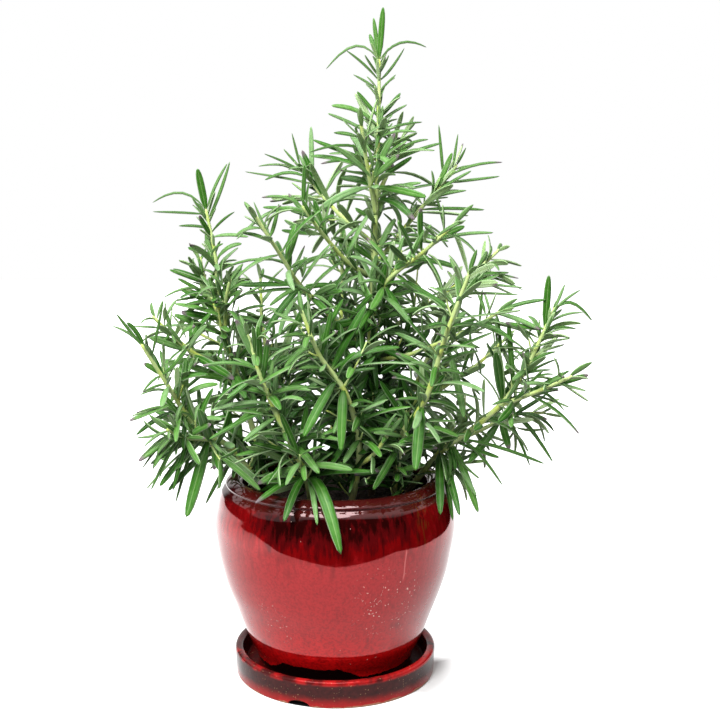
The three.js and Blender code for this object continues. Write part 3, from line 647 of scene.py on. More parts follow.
class Paint(Tree):
    """A node material with one Principled shader. Its places are in metres, in the part's own frame."""

    def __init__(self, name, **values):
        self.material = bpy.data.materials.new(name)
        self.material.use_nodes = True
        super().__init__(self.material.node_tree)
        self.shader = self.nodes["Principled BSDF"]
        for socket, value in values.items():
            self.shader.inputs[socket.replace("_", " ")].default_value = value
        self.place = self.add("ShaderNodeTexCoord").outputs["Object"]
        self.x, self.y, self.z = self.split(self.place)

    def noise(self, size, detail=3, stretch=(1, 1, 1)):
        """Cloudy noise whose features are about size millimetres wide."""
        scaled = self.add("ShaderNodeMapping", {"Vector": self.place, "Scale": stretch}).outputs[0]
        inputs = {"Vector": scaled, "Scale": 1 / (size * MM), "Detail": detail}
        return Value(self, self.add("ShaderNodeTexNoise", inputs).outputs[0])

    def specks(self, size, share, spread=0.3):
        """Small uneven spots in cells of about size millimetres, in that share of the cells."""
        inputs = {"Vector": self.place, "Scale": SPECK_WOBBLE / (size * MM), "Detail": 2}
        cloud = self.add("ShaderNodeTexNoise", inputs)
        inputs = {0: cloud.outputs["Color"], 1: (size * MM,) * 3, 2: self.place}
        uneven = self.add("ShaderNodeVectorMath", inputs, operation="MULTIPLY_ADD").outputs[0]
        cells = self.add("ShaderNodeTexVoronoi", {"Vector": uneven, "Scale": 1 / (size * MM)}).outputs
        picked = self.combine("LESS_THAN", self.split(cells["Color"])[0], share)
        return picked * self.step(spread, spread * 0.4, cells["Distance"])

    def scratches(self, share):
        """Thin short lines, where a stretched cloud passes its middle and another is high."""
        line = self.near(self.noise(5, 2, (1, 1, 0.5)), 0.5, 0.003, 0.008)
        return line * share * self.step(0.56, 0.64, self.noise(2.6, 2))

    def reach(self, x=0, y=0):
        """Distance, level with the floor, from the upright line through x and y."""
        across = self.x - x
        away = self.y - y
        return self.combine("SQRT", across * across + away * away)

    def blend(self, share, first, second):
        """A colour that goes from the first to the second as the share goes from 0 to 1."""
        node = self.add("ShaderNodeMix", data_type="RGBA")
        for socket, value in zip((0, 6, 7), (share, first, second)):
            self.feed(node.inputs[socket], value)
        return node.outputs[2]

    def ramp(self, value, *stops):
        """The colour that a row of places and colours has at the value."""
        node = self.add("ShaderNodeValToRGB", {0: value})
        elements = node.color_ramp.elements
        while len(elements) < len(stops):
            elements.new(1)
        for element, (position, colour) in zip(elements, stops):
            element.position = position
            element.color = (*colour, 1)
        return node.outputs[0]

    def bump(self, height, depth):
        """Raises the surface by up to depth millimetres where height is 1."""
        node = self.add("ShaderNodeBump", {"Height": height, "Distance": depth * MM, "Strength": 1})
        self.feed(self.shader.inputs["Normal"], node.outputs[0])

    def finish(self, **sockets):
        for name, value in sockets.items():
            self.feed(self.shader.inputs[name.replace("_", " ")], value)
        return self.material


def pot_glaze():
    """Copper-red glaze, which runs to streaked near-black below the rim, with pale chips and scratches."""
    paint = Paint("pot_glaze", IOR=1.42, Metallic=0.3)
    z = paint.z
    mottle = paint.noise(1.3, 4)
    turn = paint.combine("ARCTAN2", paint.y, paint.x)

    # The dark zone is deepest at the front and behind, and it runs down in streaks.
    facing = paint.combine("COSINE", turn * 2 + 3.1)
    dark = paint.step(0.078, 0.105, z) * paint.step(-0.3, 0.9, facing, (0.2, 1))
    streaks = paint.noise(2.2, 4, (1, 1, 0.22)) * 1.3 - 0.65
    dark = streaks * paint.step(0.07, 0.09, z, (0.4, 1)) + dark
    dark = paint.noise(11, 3, (1, 1, 0.6)) * 0.7 + (dark - 0.35)
    # The red is lighter low down: the glaze's own red with painted light towards the foot.
    red = paint.ramp(z * 10, *GLAZE_REDS_WITH_PAINTED_LIGHT)
    red = paint.blend(paint.step(0.42, 0.66, mottle, (0, 0.6)), red, GLAZE_CLOUD)
    for low, high, colour in GLAZE_DARKS:
        red = paint.blend(paint.step(low, high, dark), red, colour)
    lip = paint.step(0.106, 0.1085, z) * paint.step(0.049, 0.051, paint.reach())
    red = paint.blend(lip * 0.85, red, LIP_BROWN)
    rust = paint.near(turn, -0.78, 0.03, 0.13) * paint.step(0.5, 0.6, paint.noise(1.6, 3, (1, 1, 0.06)))
    red = paint.blend(rust * paint.step(0.085, 0.092, z) * 0.6, red, RUST)

    # Dark pits all over, and chips and scratches most of all in two worn places
    pits = paint.specks(1.7, 0.14, 0.35) * paint.step(0.05, 0.07, z, (0.3, 0.6))
    red = paint.blend(pits, red, PIT_BROWN)
    right = paint.near(turn, -1.08, 0.15, 0.4) * paint.band(z, 0.035, 0.045, 0.07, 0.082)
    left = paint.near(turn, -2.15, 0.08, 0.2) * paint.band(z, 0.03, 0.04, 0.05, 0.062)
    worn = paint.most(right, left * 0.5)
    chips = paint.most(
        paint.specks(1.6, 0.13, 0.3) * worn,
        paint.specks(4, 0.3, 0.17) * worn,
        paint.scratches(worn),
        paint.specks(5, 0.12, 0.1) * 0.8,
    )
    red = paint.blend(chips, red, CHIP_PALE)

    # A thin pale run at the right
    wander = paint.noise(9, 2) * 0.02 + (turn + 0.985)
    run = paint.step(0.009, 0.003, abs(wander)) * paint.band(z, 0.07, 0.074, 0.086, 0.09)
    red = paint.blend(run * 0.4, red, RUN_PALE)

    # The foot is painted near black low down at the front left: painted shade, standing in for the shadowed
    # gap between the foot and the saucer.
    edge = paint.noise(4, 3) * 0.003 + (paint.near(turn, -1.86, 0.3, 0.66) * 0.0058 + 0.0105)
    red = paint.blend(paint.step(0.0004, -0.0004, z - edge), red, FOOT_PAINTED_SHADE)

    paint.bump(paint.noise(13, 2), 0.06)
    rough = paint.step(0.3, 0.7, mottle, (0.03, 0.08))
    gloss = paint.step(0, 1, lip, (0.5, 1))
    return paint.finish(Base_Color=red, Roughness=rough, Specular_IOR_Level=gloss)


def saucer_glaze():
    """Speckled dark wall, red lip and red lower edge, and bare clay at the foot."""
    paint = Paint("saucer_glaze", IOR=1.24)
    z = paint.z
    cloud = paint.noise(7, 4)
    height = cloud * 0.004 + (z - 0.002)
    reach = paint.reach()
    wall = paint.blend(paint.noise(2.2, 3), *WALL_BROWNS)
    red = paint.blend(paint.noise(1.6, 3), *EDGE_REDS)
    colour = paint.blend(paint.step(0.0005, 0.0075, height), red, wall)
    darker = paint.step(-0.04, 0.03, paint.y, (0, 0.14)) + paint.step(0.005, -0.03, paint.x, (0, 0.12))
    bright = paint.step(0.3, 0.55, paint.noise(8, 4) - darker)
    colour = paint.blend(paint.step(0.0122, 0.0138, z), colour, paint.blend(bright, *RIM_REDS))
    # Inside the saucer the trough round the pot's foot is a near-black red: painted shade on the red glaze.
    inside = paint.step(0.0535, 0.0525, reach)
    colour = paint.blend(inside, colour, paint.blend(cloud, *TROUGH_REDS_IN_PAINTED_SHADE))
    colour = paint.blend(paint.specks(1.3, 0.3, 0.24) * 0.6, colour, SPECK_TAN)
    clay = paint.step(0.0014, 0.0005, height)
    colour = paint.blend(clay, colour, CLAY)
    # The faces inside the notch are painted near black: painted shade.
    notch = paint.step(0.0568, 0.0564, reach) * paint.step(0.005, 0.0048, z) * paint.step(0.0001, 0.0003, z)
    colour = paint.blend(notch, colour, NOTCH_PAINTED_SHADE)
    dull = paint.most(notch, inside)
    paint.bump(paint.noise(5, 3), 0.12)
    rough = paint.most(paint.step(0, 1, clay, (0.14, 0.8)), paint.step(0, 1, dull, (0, 0.3)))
    gloss = paint.step(1, 0, dull, (0.04, 0.5))
    metal = paint.step(1, 0, paint.most(dull, clay), (0, 0.15))
    return paint.finish(Base_Color=colour, Roughness=rough, Specular_IOR_Level=gloss, Metallic=metal)


def soil_mix():
    """Dark, damp potting mix with paler fibres and grit."""
    paint = Paint("soil", Roughness=0.92)
    colour = paint.ramp(paint.noise(1.4, 5), *SOIL_BROWNS)
    colour = paint.blend(paint.specks(2.2, 0.12, 0.3), colour, GRIT)
    paint.bump(paint.noise(1.1, 5), 0.6)
    return paint.finish(Base_Color=colour)


def leaf_values(paint):
    """Place across and along the leaf, its shade, ripeness and dryness, all from 0 to 1 but the first."""
    place = paint.add("ShaderNodeAttribute", attribute_name="place").outputs["Vector"]
    growth = paint.add("ShaderNodeAttribute", attribute_name="growth").outputs["Vector"]
    return (*paint.split(place), *paint.split(growth)[:2])


def inner(paint):
    """How far inside the plant a point lies, where the leaves are painted darker: painted shade."""
    outer = paint.most(paint.step(0.034, 0.072, paint.reach()), paint.step(0.16, 0.25, paint.z))
    return paint.step(0, 1, outer, (0.9, 0))


def withered(paint, dry, along):
    return dry * paint.step(0.84, 0.96, along)


def leaf_top():
    """Deep green with a paler bloom, groove and margin, and a few dry tips."""
    paint = Paint("leaf_top", IOR=1.45, Specular_IOR_Level=0.3)
    across, along, shade, ripe, dry = leaf_values(paint)
    off_middle = abs(across)
    green = paint.ramp(paint.noise(3.5, 3) * 0.4 + shade * 0.6, *TOP_GREENS)
    green = paint.blend(ripe, paint.blend(shade, *YOUNG_GREENS), green)
    green = paint.blend(paint.step(0.14, 0.03, off_middle, (0, 0.35)), green, GROOVE_GREEN)
    green = paint.blend(paint.step(0.76, 0.96, off_middle, (0, 0.5)), green, MARGIN_GREEN)
    green = paint.blend(paint.step(0.12, 0, along, (0, 0.8)), green, ROOT_GREEN)
    # Painted shade on the leaves deep inside the plant
    green = paint.blend(inner(paint), green, TOP_PAINTED_SHADE)
    green = paint.blend(withered(paint, dry, along), green, DRY_TOP)
    paint.bump(paint.noise(0.5, 2), 0.12)
    return paint.finish(Base_Color=green, Roughness=paint.step(0, 1, ripe, (0.5, 0.36)))


def leaf_under():
    """Pale felt with a greener rib."""
    paint = Paint("leaf_under", Roughness=0.9, Specular_IOR_Level=0.25, Sheen_Weight=0.08)
    across, along, shade, _, dry = leaf_values(paint)
    felt = paint.blend(shade, *FELT_GREENS)
    felt = paint.blend(paint.step(0.3, 0.7, paint.noise(0.8, 3), (0, 0.4)), felt, FELT_PALE)
    felt = paint.blend(paint.step(0.2, 0.05, abs(across), (0, 0.7)), felt, RIB_GREEN)
    # Painted shade on the leaves deep inside the plant
    felt = paint.blend(inner(paint), felt, UNDER_PAINTED_SHADE)
    felt = paint.blend(withered(paint, dry, along), felt, DRY_UNDER)
    paint.bump(paint.noise(0.4, 2), 0.1)
    return paint.finish(Base_Color=felt)


def stem_bark():
    """Pale green and downy, browner and ridged towards the soil."""
    paint = Paint("stem", Roughness=0.65, Sheen_Weight=0.15, Sheen_Roughness=0.5)
    woody = leaf_values(paint)[3]
    green = paint.blend(paint.noise(2.2, 3, (1, 1, 0.3)), *STEM_GREENS)
    green = paint.blend(paint.step(0.45, 0.7, paint.noise(9, 2)), green, STEM_YELLOW)
    brown = paint.blend(paint.noise(0.9, 4, (1, 1, 0.2)), *STEM_BROWNS)
    colour = paint.blend(paint.step(0.6, 1, woody), green, brown)
    paint.bump(paint.noise(0.8, 3, (1, 1, 0.15)), 0.2)
    return paint.finish(Base_Color=colour)


# Pot, saucer and soil


def make_pot(material):
    outside = flowing([*POT_OUTSIDE[:-2], *POT_GROOVE, *POT_LIP, POT_INSIDE[0]])
    inside = flowing(POT_INSIDE)[1:]
    section = [(DRAIN_RADIUS, POT_FOOT), *outside, *inside, (DRAIN_RADIUS, POT_INNER_FLOOR)]
    vertices, faces = lathe(section, TURNED_SIDES, ring=True)

    # The wall swells in and out by up to a quarter of a millimetre, as a thrown pot's does.
    x, y, z = vertices.T
    turn = np.arctan2(y, x)
    swell = 0.12 * np.sin(2 * turn + 0.6) + 0.07 * np.sin(5 * turn + z / 17) + 0.05 * np.sin(z / 3.1 + turn)
    reach = np.hypot(x, y)
    vertices[:, :2] *= np.where(reach > 30, 1 + (swell - 0.2) / np.maximum(reach, 1), 1)[:, None]
    piece = new_object("glazed_pot", vertices, faces, [material])
    dress(piece, "pot")


def make_saucer(material):
    opening = SAUCER_TOP_RADIUS - SAUCER_WALL
    points = [
        (0, 0),
        (SAUCER_BASE_RADIUS, 0),
        (SAUCER_TOP_RADIUS, SAUCER_HEIGHT),
        (opening + 0.3, SAUCER_HEIGHT),
        (opening - 1.2, SAUCER_FLOOR),
        (0, SAUCER_FLOOR),
    ]
    section = rounded(points, [1.1, 2.4, 2.6, 1.5])
    vertices, faces = lathe(section, TURNED_SIDES)
    piece = new_object("glazed_saucer", vertices, faces, [material])

    # The notch's cutter is turned by half a side, so that none of its corners lies on the underside.
    turns = np.linspace(0, 2 * math.pi, NOTCH_SIDES, endpoint=False) + math.pi / NOTCH_SIDES
    arch = [(NOTCH_WIDTH / 2 * math.cos(turn), NOTCH_HEIGHT * math.sin(turn)) for turn in turns]
    forward = np.array([math.cos(math.radians(NOTCH_TURN)), math.sin(math.radians(NOTCH_TURN)), 0])
    sideways = np.array([-forward[1], forward[0], 0])
    ends = [forward * (SAUCER_BASE_RADIUS - NOTCH_DEPTH), forward * (SAUCER_BASE_RADIUS + NOTCH_DEPTH)]
    corners = [end + sideways * along + np.array([0, 0, up]) for end in ends for along, up in arch]
    near = list(range(NOTCH_SIDES))
    far = [corner + NOTCH_SIDES for corner in near]
    sides = [[near[i - 1], near[i], far[i], far[i - 1]] for i in near]
    cutter = new_object("notch", corners, [*sides, near[::-1], far], [])
    cut = piece.modifiers.new("notch", "BOOLEAN")
    cut.object = cutter
    cut.operation = "DIFFERENCE"
    evaluated = piece.evaluated_get(bpy.context.evaluated_depsgraph_get())
    piece.data = bpy.data.meshes.new_from_object(evaluated)
    piece.modifiers.clear()
    bpy.data.objects.remove(cutter)
    piece.data.set_sharp_from_angle(angle=math.radians(40))
    dress(piece, "saucer")


def soil_height(radius):
    """The soil is a little higher in the middle."""
    return SOIL_TOP + SOIL_CROWN - radius ** 2 / SOIL_CURVE


def make_soil(material):
    """An uneven surface with crumbs on it, each a small eight-sided body."""
    side = [(radius - GAP - 0.1, height) for radius, height in POT_INSIDE]
    side[-1] = (side[-1][0], side[-1][1] + GAP)
    top = [(radius, soil_height(radius)) for radius in np.linspace(58, 2, 36)]
    section = [(0, POT_INNER_FLOOR + GAP), *side[::-1], *top, (0, soil_height(0))]
    vertices, faces = lathe(section, SOIL_SIDES)
    draw = np.random.default_rng(SOIL_SEED)
    high = vertices[:, 2] > SOIL_TOP - 2
    vertices[high, 2] += draw.uniform(-1.1, 0.5, high.sum())
    vertices[high, :2] += draw.uniform(-0.3, 0.3, (high.sum(), 2))
    vertices = list(map(tuple, vertices))
    for _ in range(CRUMBS):
        reach = CRUMB_REACH * math.sqrt(draw.uniform())
        turn = draw.uniform(0, 2 * math.pi)
        size = draw.uniform(*CRUMB_SIZE)
        centre = np.array([reach * math.cos(turn), reach * math.sin(turn), soil_height(reach) - 0.5])
        start = len(vertices)
        for corner in [(1, 0, 0), (0, 1, 0), (-1, 0, 0), (0, -1, 0), (0, 0, 1), (0, 0, -1)]:
            vertices.append(tuple(centre + np.array(corner) * size * draw.uniform(0.6, 1.2)))
        for i in range(4):
            j = (i + 1) % 4
            faces.append([start + i, start + j, start + 4])
            faces.append([start + j, start + i, start + 5])
    piece = new_object("potting_soil", vertices, faces, [material])
    dress(piece, "soil")


# Curves


class Route:
    """A smooth line through points, measured by its length, as the solids have it."""

    def __init__(self, start, rest):
        points = [np.array(point, float) for point in [start, *rest]]
        ends = [2 * points[0] - points[1], *points, 2 * points[-1] - points[-2]]
        self.spans = []
        for a, b, c, d in zip(ends, ends[1:], ends[2:], ends[3:]):
            into, out = (c - a) / 2, (d - b) / 2
            self.spans.append((b, into, 3 * (c - b) - 2 * into - out, 2 * (b - c) + into + out))
        line = [self.at(t) for t in np.linspace(0, 1, CURVE_SAMPLES + 1)]
        gaps = [np.linalg.norm(b - a) for a, b in zip(line, line[1:])]
        self.reached = np.concatenate([[0], np.cumsum(gaps)])
        self.length = self.reached[-1]

    def at(self, t):
        place = min(t, 1) * len(self.spans)
        span = min(int(place), len(self.spans) - 1)
        rest = place - span
        a, b, c, d = self.spans[span]
        return a + b * rest + c * rest ** 2 + d * rest ** 3

    def parameter(self, share):
        return np.interp(share * self.length, self.reached, np.linspace(0, 1, CURVE_SAMPLES + 1))

    def point(self, share):
        return self.at(self.parameter(share))

    def frame(self, share):
        """Place, direction and two sideways directions at a share of the length."""
        t = self.parameter(share)
        low, high = max(0, t - 1e-4), min(1, t + 1e-4)
        along = unit(self.at(high) - self.at(low))
        back = np.array([0.0, 1.0, 0.0])
        back = unit(back - along * (back @ along))
        return self.at(t), along, back, np.cross(along, back)

    def at_height(self, height):
        for i in range(CURVE_SAMPLES + 1):
            point = self.point(i / CURVE_SAMPLES)
            if point[2] >= height:
                return point
        return self.point(1)


def make_draw(seed):
    """Random numbers from 0 to 1, the same that the solids use."""
    state = seed

    def draw():
        nonlocal state
        state = (state * 1664525 + 1013904223) % 4294967296
        return state / 4294967296

    return draw


# Leaves


def outward(stand, turn):
    """The direction square to the stem, turned round it from the back."""
    return stand[2] * math.cos(turn) + stand[3] * math.sin(turn)


def lay_leaf(stand, turn, lean, curl, length, width, **looks):
    """A leaf that leaves its stem at the angle lean and bends away from it by curl, both in degrees."""
    point, along, _, _ = stand
    out = outward(stand, turn)
    lean = math.radians(lean)
    bent = lean + math.radians(curl)
    root = point + out * ROOT_OFFSET
    bow = root + (along * math.cos(lean) + out * math.sin(lean)) * (length / 2)
    tip = bow + (along * math.cos(bent) + out * math.sin(bent)) * (length / 2)
    tip[2] -= DROOP * length
    return dict(root=root, bow=bow, tip=tip, side=np.cross(along, out), width=width, **looks)


def outside_radius(height):
    line = [(SAUCER_BASE_RADIUS, 0), (SAUCER_TOP_RADIUS, SAUCER_HEIGHT), *POT_OUTSIDE[4:], POT_LIP[0]]
    return np.interp(height, [z for _, z in line], [radius for radius, _ in line])


def middle_line(leaf, start, count):
    """Points along the leaf's middle, from the share start of its length to the tip."""
    t = np.linspace(start, 1, count)[:, None]
    return (1 - t) ** 2 * leaf["root"] + 2 * t * (1 - t) * leaf["bow"] + t * t * leaf["tip"]


def is_clear(leaf):
    """A leaf stays above the soil inside the mouth, outside the pot beyond it, and in the model's box."""
    room = leaf["width"] / 2 + LEAF_GAP
    for x, y, z in middle_line(leaf, 0, 9):
        radius = math.hypot(x, y)
        if z - room > POT_RIM_HEIGHT:
            continue
        if radius + room < LIP_INNER_RADIUS:
            if z - room <= SOIL_TOP + SOIL_CROWN:
                return False
        elif z <= room or radius - room <= outside_radius(z):
            return False
    low, high = (np.array(corner) / MM for corner in cad_box)
    return bool(np.all(leaf["tip"] > low) and np.all(leaf["tip"] < high))


def from_front(points):
    """Where the camera sees the points on the upright plane through the pot's axis, and their depth."""
    share = CAMERA_DISTANCE / (CAMERA_DISTANCE + points[:, 1] * MM)
    height = CAMERA_HEIGHT / MM
    return np.column_stack([points[:, 0] * share, height + (points[:, 2] - height) * share, points[:, 1]])


def is_free(leaf, broad):
    """A leaf that is clear, crosses no open place and hides none of the broad leaves."""
    if not is_clear(leaf):
        return False
    points = from_front(middle_line(leaf, 0.15, 9))
    open_places = np.array(OPEN_PLACES, float)
    steps = (points[:, None, :2] - open_places[:, :2]) / open_places[:, 2:]
    if (np.square(steps).sum(axis=2) < 1).any():
        return False
    away = np.hypot(*np.moveaxis(points[:, None, :2] - broad[:, :2], 2, 0))
    return not ((away < broad[:, 3] + 1.5) & (points[:, None, 2] < broad[:, 2])).any()


def grown(age):
    """Length and width of a leaf, which are less on the young end of a shoot."""
    return LEAF_LENGTH * mix(YOUNG_LENGTH, 1, age), LEAF_WIDTH * mix(YOUNG_WIDTH, 1, age)


def looks_of(chance, ripe):
    return dict(
        shade=chance.random(),
        ripe=ripe,
        dry=float(chance.random() < DRY_CHANCE),
        twist=math.radians(chance.uniform(-28, 28)),
        sway=chance.uniform(-0.05, 0.05),
    )


def rule_leaves(route, filled, bare, draw, chance):
    """Opposite pairs from the tip down, each a quarter turn from the last, with the solids' own draws."""
    pairs = []
    distance = FIRST_PAIR + filled
    while distance < route.length - bare:
        age = min(1, distance / RIPE)
        turn = len(pairs) * math.pi / 2 + math.radians(mix(*TURN_SPREAD, draw()))
        stand = route.frame(1 - distance / route.length)
        leaves = []
        for side in (0, math.pi):
            lean = mix(YOUNG_LEAN, OLD_LEAN, age) + mix(*LEAN_SPREAD, draw())
            curl = mix(*CURL_SPREAD, draw())
            length, width = (size * mix(*spread, draw())
                             for size, spread in zip(grown(age), (LENGTH_SPREAD, WIDTH_SPREAD)))
            leaves.append(lay_leaf(stand, turn + side, lean, curl, length, width, **looks_of(chance, age)))
        pairs.append((distance, turn, leaves))
        distance += mix(TIP_SPACING, NODE_SPACING, age)
    return pairs


def drawn_leaf(kind, stand, turn, size, ripe, lean, chance):
    """A leaf of a kind, whose ranges are drawn in their order."""
    drawn = {name: chance.uniform(*spread) for name, spread in kind.items()}
    turn += drawn.get("turn", 0)
    lean += drawn["lean"]
    length = size[0] * drawn["length"]
    width = size[1] * drawn["width"]
    return lay_leaf(stand, turn, lean, drawn["curl"], length, width, **looks_of(chance, ripe))


def between_leaves(foliage, route, pairs):
    """A pair in each wide gap between the pairs of the rule."""
    leaves = []
    for (low, turn, _), (high, _, _) in zip(pairs, pairs[1:]):
        if high - low >= BETWEEN_GAP:
            distance = mix(low, high, foliage.chance.uniform(0.4, 0.6))
            stand = route.frame(1 - distance / route.length)
            age = min(1, distance / RIPE)
            leaves.extend(foliage.pair(BETWEEN, stand, turn + math.pi / 4, grown(age), age))
    return leaves


def sprig(foliage, stand, turn, reach):
    """A young side shoot in a leaf's axil, with small pairs of leaves from its tip down."""
    point, along, _, _ = stand
    lean = math.radians(foliage.chance.uniform(38, 62))
    rise = np.array([0, 0, foliage.chance.uniform(0.1, 0.5)])
    heading = unit(along * math.cos(lean) + outward(stand, turn) * math.sin(lean))
    middle = point + heading * (reach * 0.55)
    route = Route(point, [middle, middle + unit(heading + rise) * (reach * 0.45 + 1)])
    leaves = []
    tried = 0
    distance = 0.6
    level = foliage.chance.randrange(2)
    while distance < max(route.length - 1, 1):
        own = route.frame(1 - distance / route.length)
        scale = mix(0.55, 1.15, min(1, distance / 14))
        size = (LEAF_LENGTH * scale, LEAF_WIDTH * scale)
        ripe = min(1, 0.15 + distance / 20)
        leaves.extend(foliage.pair(YOUNG, own, level * math.pi / 2, size, ripe, min(26, distance * 2)))
        tried += 2
        distance += SPRIG_SPACING
        level += 1
    if reach > 5:
        if len(leaves) < SPRIG_SHARE * tried:
            return []
        add_stem(foliage, route, SPRIG_RADIUS, SPRIG_RADIUS * 0.7)
    return leaves


def tip_leaves(foliage, route, filled):
    """Slender young leaves close to the stem, among those that are listed."""
    leaves = []
    distance = 3
    while distance < filled + 2:
        stand = route.frame(1 - distance / route.length)
        turn = foliage.chance.uniform(0, 2 * math.pi)
        leaves.extend(foliage.pair(SLENDER, stand, turn, (1, 1), 0.3))
        distance += TIP_STEP
    return leaves


def listed_leaf(route, at, tip, arch, width, chance):
    """A leaf from the lists. The broad ones are darker."""
    root = route.at_height(at)
    tip = np.array(tip, float)
    bow = mix(root, tip, 0.4) + np.array([0, 0, arch])
    side = unit(np.cross(FACING, tip - root))
    looks = looks_of(chance, smooth(1, 3.5, width))
    looks["sway"] = 0
    looks["twist"] /= 3
    looks["shade"] *= mix(1, 0.35, smooth(3, 6, width))
    return dict(root=root, bow=bow, tip=tip, side=side, width=max(width, 1.6), **looks)


class Foliage:
    """Places the added leaves of one plant, and gathers the points, faces and values of its mesh."""

    def __init__(self, broad, chance):
        self.broad = broad
        self.chance = chance
        self.points = []
        self.faces = []
        self.slots = []
        self.place = []
        self.growth = []
        self.count = 0

    def add(self, points, faces, slots, place, growth):
        self.points.append(points)
        self.faces.extend([[corner + self.count for corner in face] for face in faces])
        self.slots.extend(slots)
        self.place.append(place)
        self.growth.append(growth)
        self.count += len(points)

    def pair(self, kind, stand, turn, size, ripe, lean=0):
        """On each side of the stem the first free leaf of a few that are drawn. A side may stay bare."""
        leaves = []
        for side in (0, math.pi):
            for _ in range(TRIES):
                leaf = drawn_leaf(kind, stand, turn + side, size, ripe, lean, self.chance)
                if is_free(leaf, self.broad):
                    leaves.append(leaf)
                    break
        return leaves

    def piece(self, name, materials):
        made = new_object(name, np.concatenate(self.points), self.faces, materials, self.slots)
        for label, values in [("place", self.place), ("growth", self.growth)]:
            layer = made.data.attributes.new(label, "FLOAT_VECTOR", "POINT")
            layer.data.foreach_set("vector", np.concatenate(values).astype(np.float32).ravel())
        return made


def leaf_breadth(share, ripe):
    """Narrow at the root and even along the middle. The tip is blunt when ripe and pointed when young."""
    waist = 0.35 + 0.65 * smooth(0, 0.4, share)
    blunt = math.sqrt(1 - max(0, (share - 0.65) / 0.35) ** 2.4)
    pointed = (1 - max(0, (share - 0.5) / 0.5) ** 1.7) ** 0.8
    return waist * mix(pointed, blunt, min(1, 0.2 + 1.2 * ripe))


def tube_faces(rings, sides):
    """Faces of a closed tube, strip by strip. Its points are one end, the rings, and the other end."""
    last = rings * sides + 1
    faces = []
    for i in range(sides):
        j = (i + 1) % sides
        faces.append([0, 1 + j, 1 + i])
        for low in range(1, last - sides, sides):
            faces.append([low + i, low + j, low + sides + j, low + sides + i])
        faces.append([last - sides + i, last - sides + j, last])
    return faces


def add_leaf(foliage, leaf):
    root, tip = leaf["root"], leaf["tip"]
    span = np.linalg.norm(tip - root)
    small = span < SMALL_SPAN
    upper_section = SMALL_UPPER if small else UPPER_SECTION
    under_section = SMALL_UNDER if small else UNDER_SECTION
    rings = SMALL_RINGS if small else LEAF_RINGS
    section = upper_section + under_section
    bow = leaf["bow"] + leaf["side"] * leaf["sway"] * span
    points = [root]
    place = [(0, 0)]
    for share in rings:
        point = (1 - share) ** 2 * root + 2 * share * (1 - share) * bow + share ** 2 * tip
        tangent = unit((1 - share) * (bow - root) + share * (tip - bow))
        level = unit(leaf["side"] - tangent * (leaf["side"] @ tangent))
        raised = np.cross(tangent, level)
        twist = leaf["twist"] * share
        side = level * math.cos(twist) + raised * math.sin(twist)
        upper = raised * math.cos(twist) - level * math.sin(twist)
        breadth = leaf_breadth(share, leaf["ripe"])
        half = leaf["width"] / 2 * breadth
        thickness = max(ROLLED, 0.9 * leaf["width"]) * math.sqrt(breadth)
        for across, high in section:
            points.append(point + side * across * half + upper * high * thickness)
            place.append((across, share))
    points.append(tip)
    place.append((0, 1))
    strip = len(rings) + 1
    tops = len(upper_section) - 1
    slots = [TOP_SLOT] * (tops * strip) + [UNDER_SLOT] * ((len(section) - tops) * strip)
    place = np.column_stack([place, np.full(len(place), leaf["shade"])])
    growth = np.tile([leaf["ripe"], leaf["dry"], 0], (len(points), 1))
    foliage.add(np.array(points), tube_faces(len(rings), len(section)), slots, place, growth)


def add_stem(foliage, route, foot_radius, tip_radius, below=None):
    """A tapering stem. One that goes down to the height below is woody near its foot."""
    steps = max(3, math.ceil(route.length / STEM_STEP))
    rings = [(route.frame(i / steps), i / steps) for i in range(steps + 1)]
    woody = 0
    if below is not None:
        woody = 1
        foot = rings[0][0][0]
        upright = np.array([0.0, 0.0, 1.0])
        back = np.array([0.0, 1.0, 0.0])
        low = np.array([*foot[:2], below])
        rings[0] = ((foot, upright, back, np.cross(upright, back)), 0)
        rings.insert(0, ((low, upright, back, np.cross(upright, back)), 0))
    points = [rings[0][0][0]]
    wood = [woody]
    for (point, _, back, across), share in rings:
        radius = mix(foot_radius, tip_radius, share) * (1 + 0.05 * math.sin(route.length * share * 0.9))
        for turn in np.arange(STEM_SIDES) * (2 * math.pi / STEM_SIDES):
            points.append(point + (across * math.cos(turn) - back * math.sin(turn)) * radius)
            wood.append(woody * (1 - min(1, share * 3)))
    end, heading, _, _ = rings[-1][0]
    points.append(end + heading * tip_radius)
    wood.append(0)
    faces = tube_faces(len(rings), STEM_SIDES)
    growth = np.zeros((len(points), 3))
    growth[:, 0] = wood
    foliage.add(np.array(points), faces, [STEM_SLOT] * len(faces), np.zeros((len(points), 3)), growth)


def branches(plant):
    """The routes of a plant's stem and of its shoots."""
    (x, y), *rest = plant["route"]
    stem = Route((x, y, SOIL_TOP + COLLAR), rest)
    shoots = [Route(stem.at_height(branch["start"]), branch["route"]) for branch in plant.get("shoots", [])]
    return [stem, *shoots]


def listed(plant, number):
    """The leaves listed for a branch, those of the solids first."""
    branch = plant["shoots"][number - 1] if number else plant
    return [*branch.get("leaves", ()), *MORE_LEAVES.get((plant["name"], number), ())]


def broad_leaves():
    """Points along the broad leaves that are listed, as seen from the front, with half their width."""
    points = []
    for plant in PLANTS:
        for number, route in enumerate(branches(plant)):
            for leaf in listed(plant, number):
                if leaf[-1] >= BROAD_LEAF:
                    shape = listed_leaf(route, *leaf, random.Random(0))
                    line = from_front(middle_line(shape, 0.2, 12))
                    points.append(np.column_stack([line, np.full(len(line), leaf[-1] / 2)]))
    return np.concatenate(points)


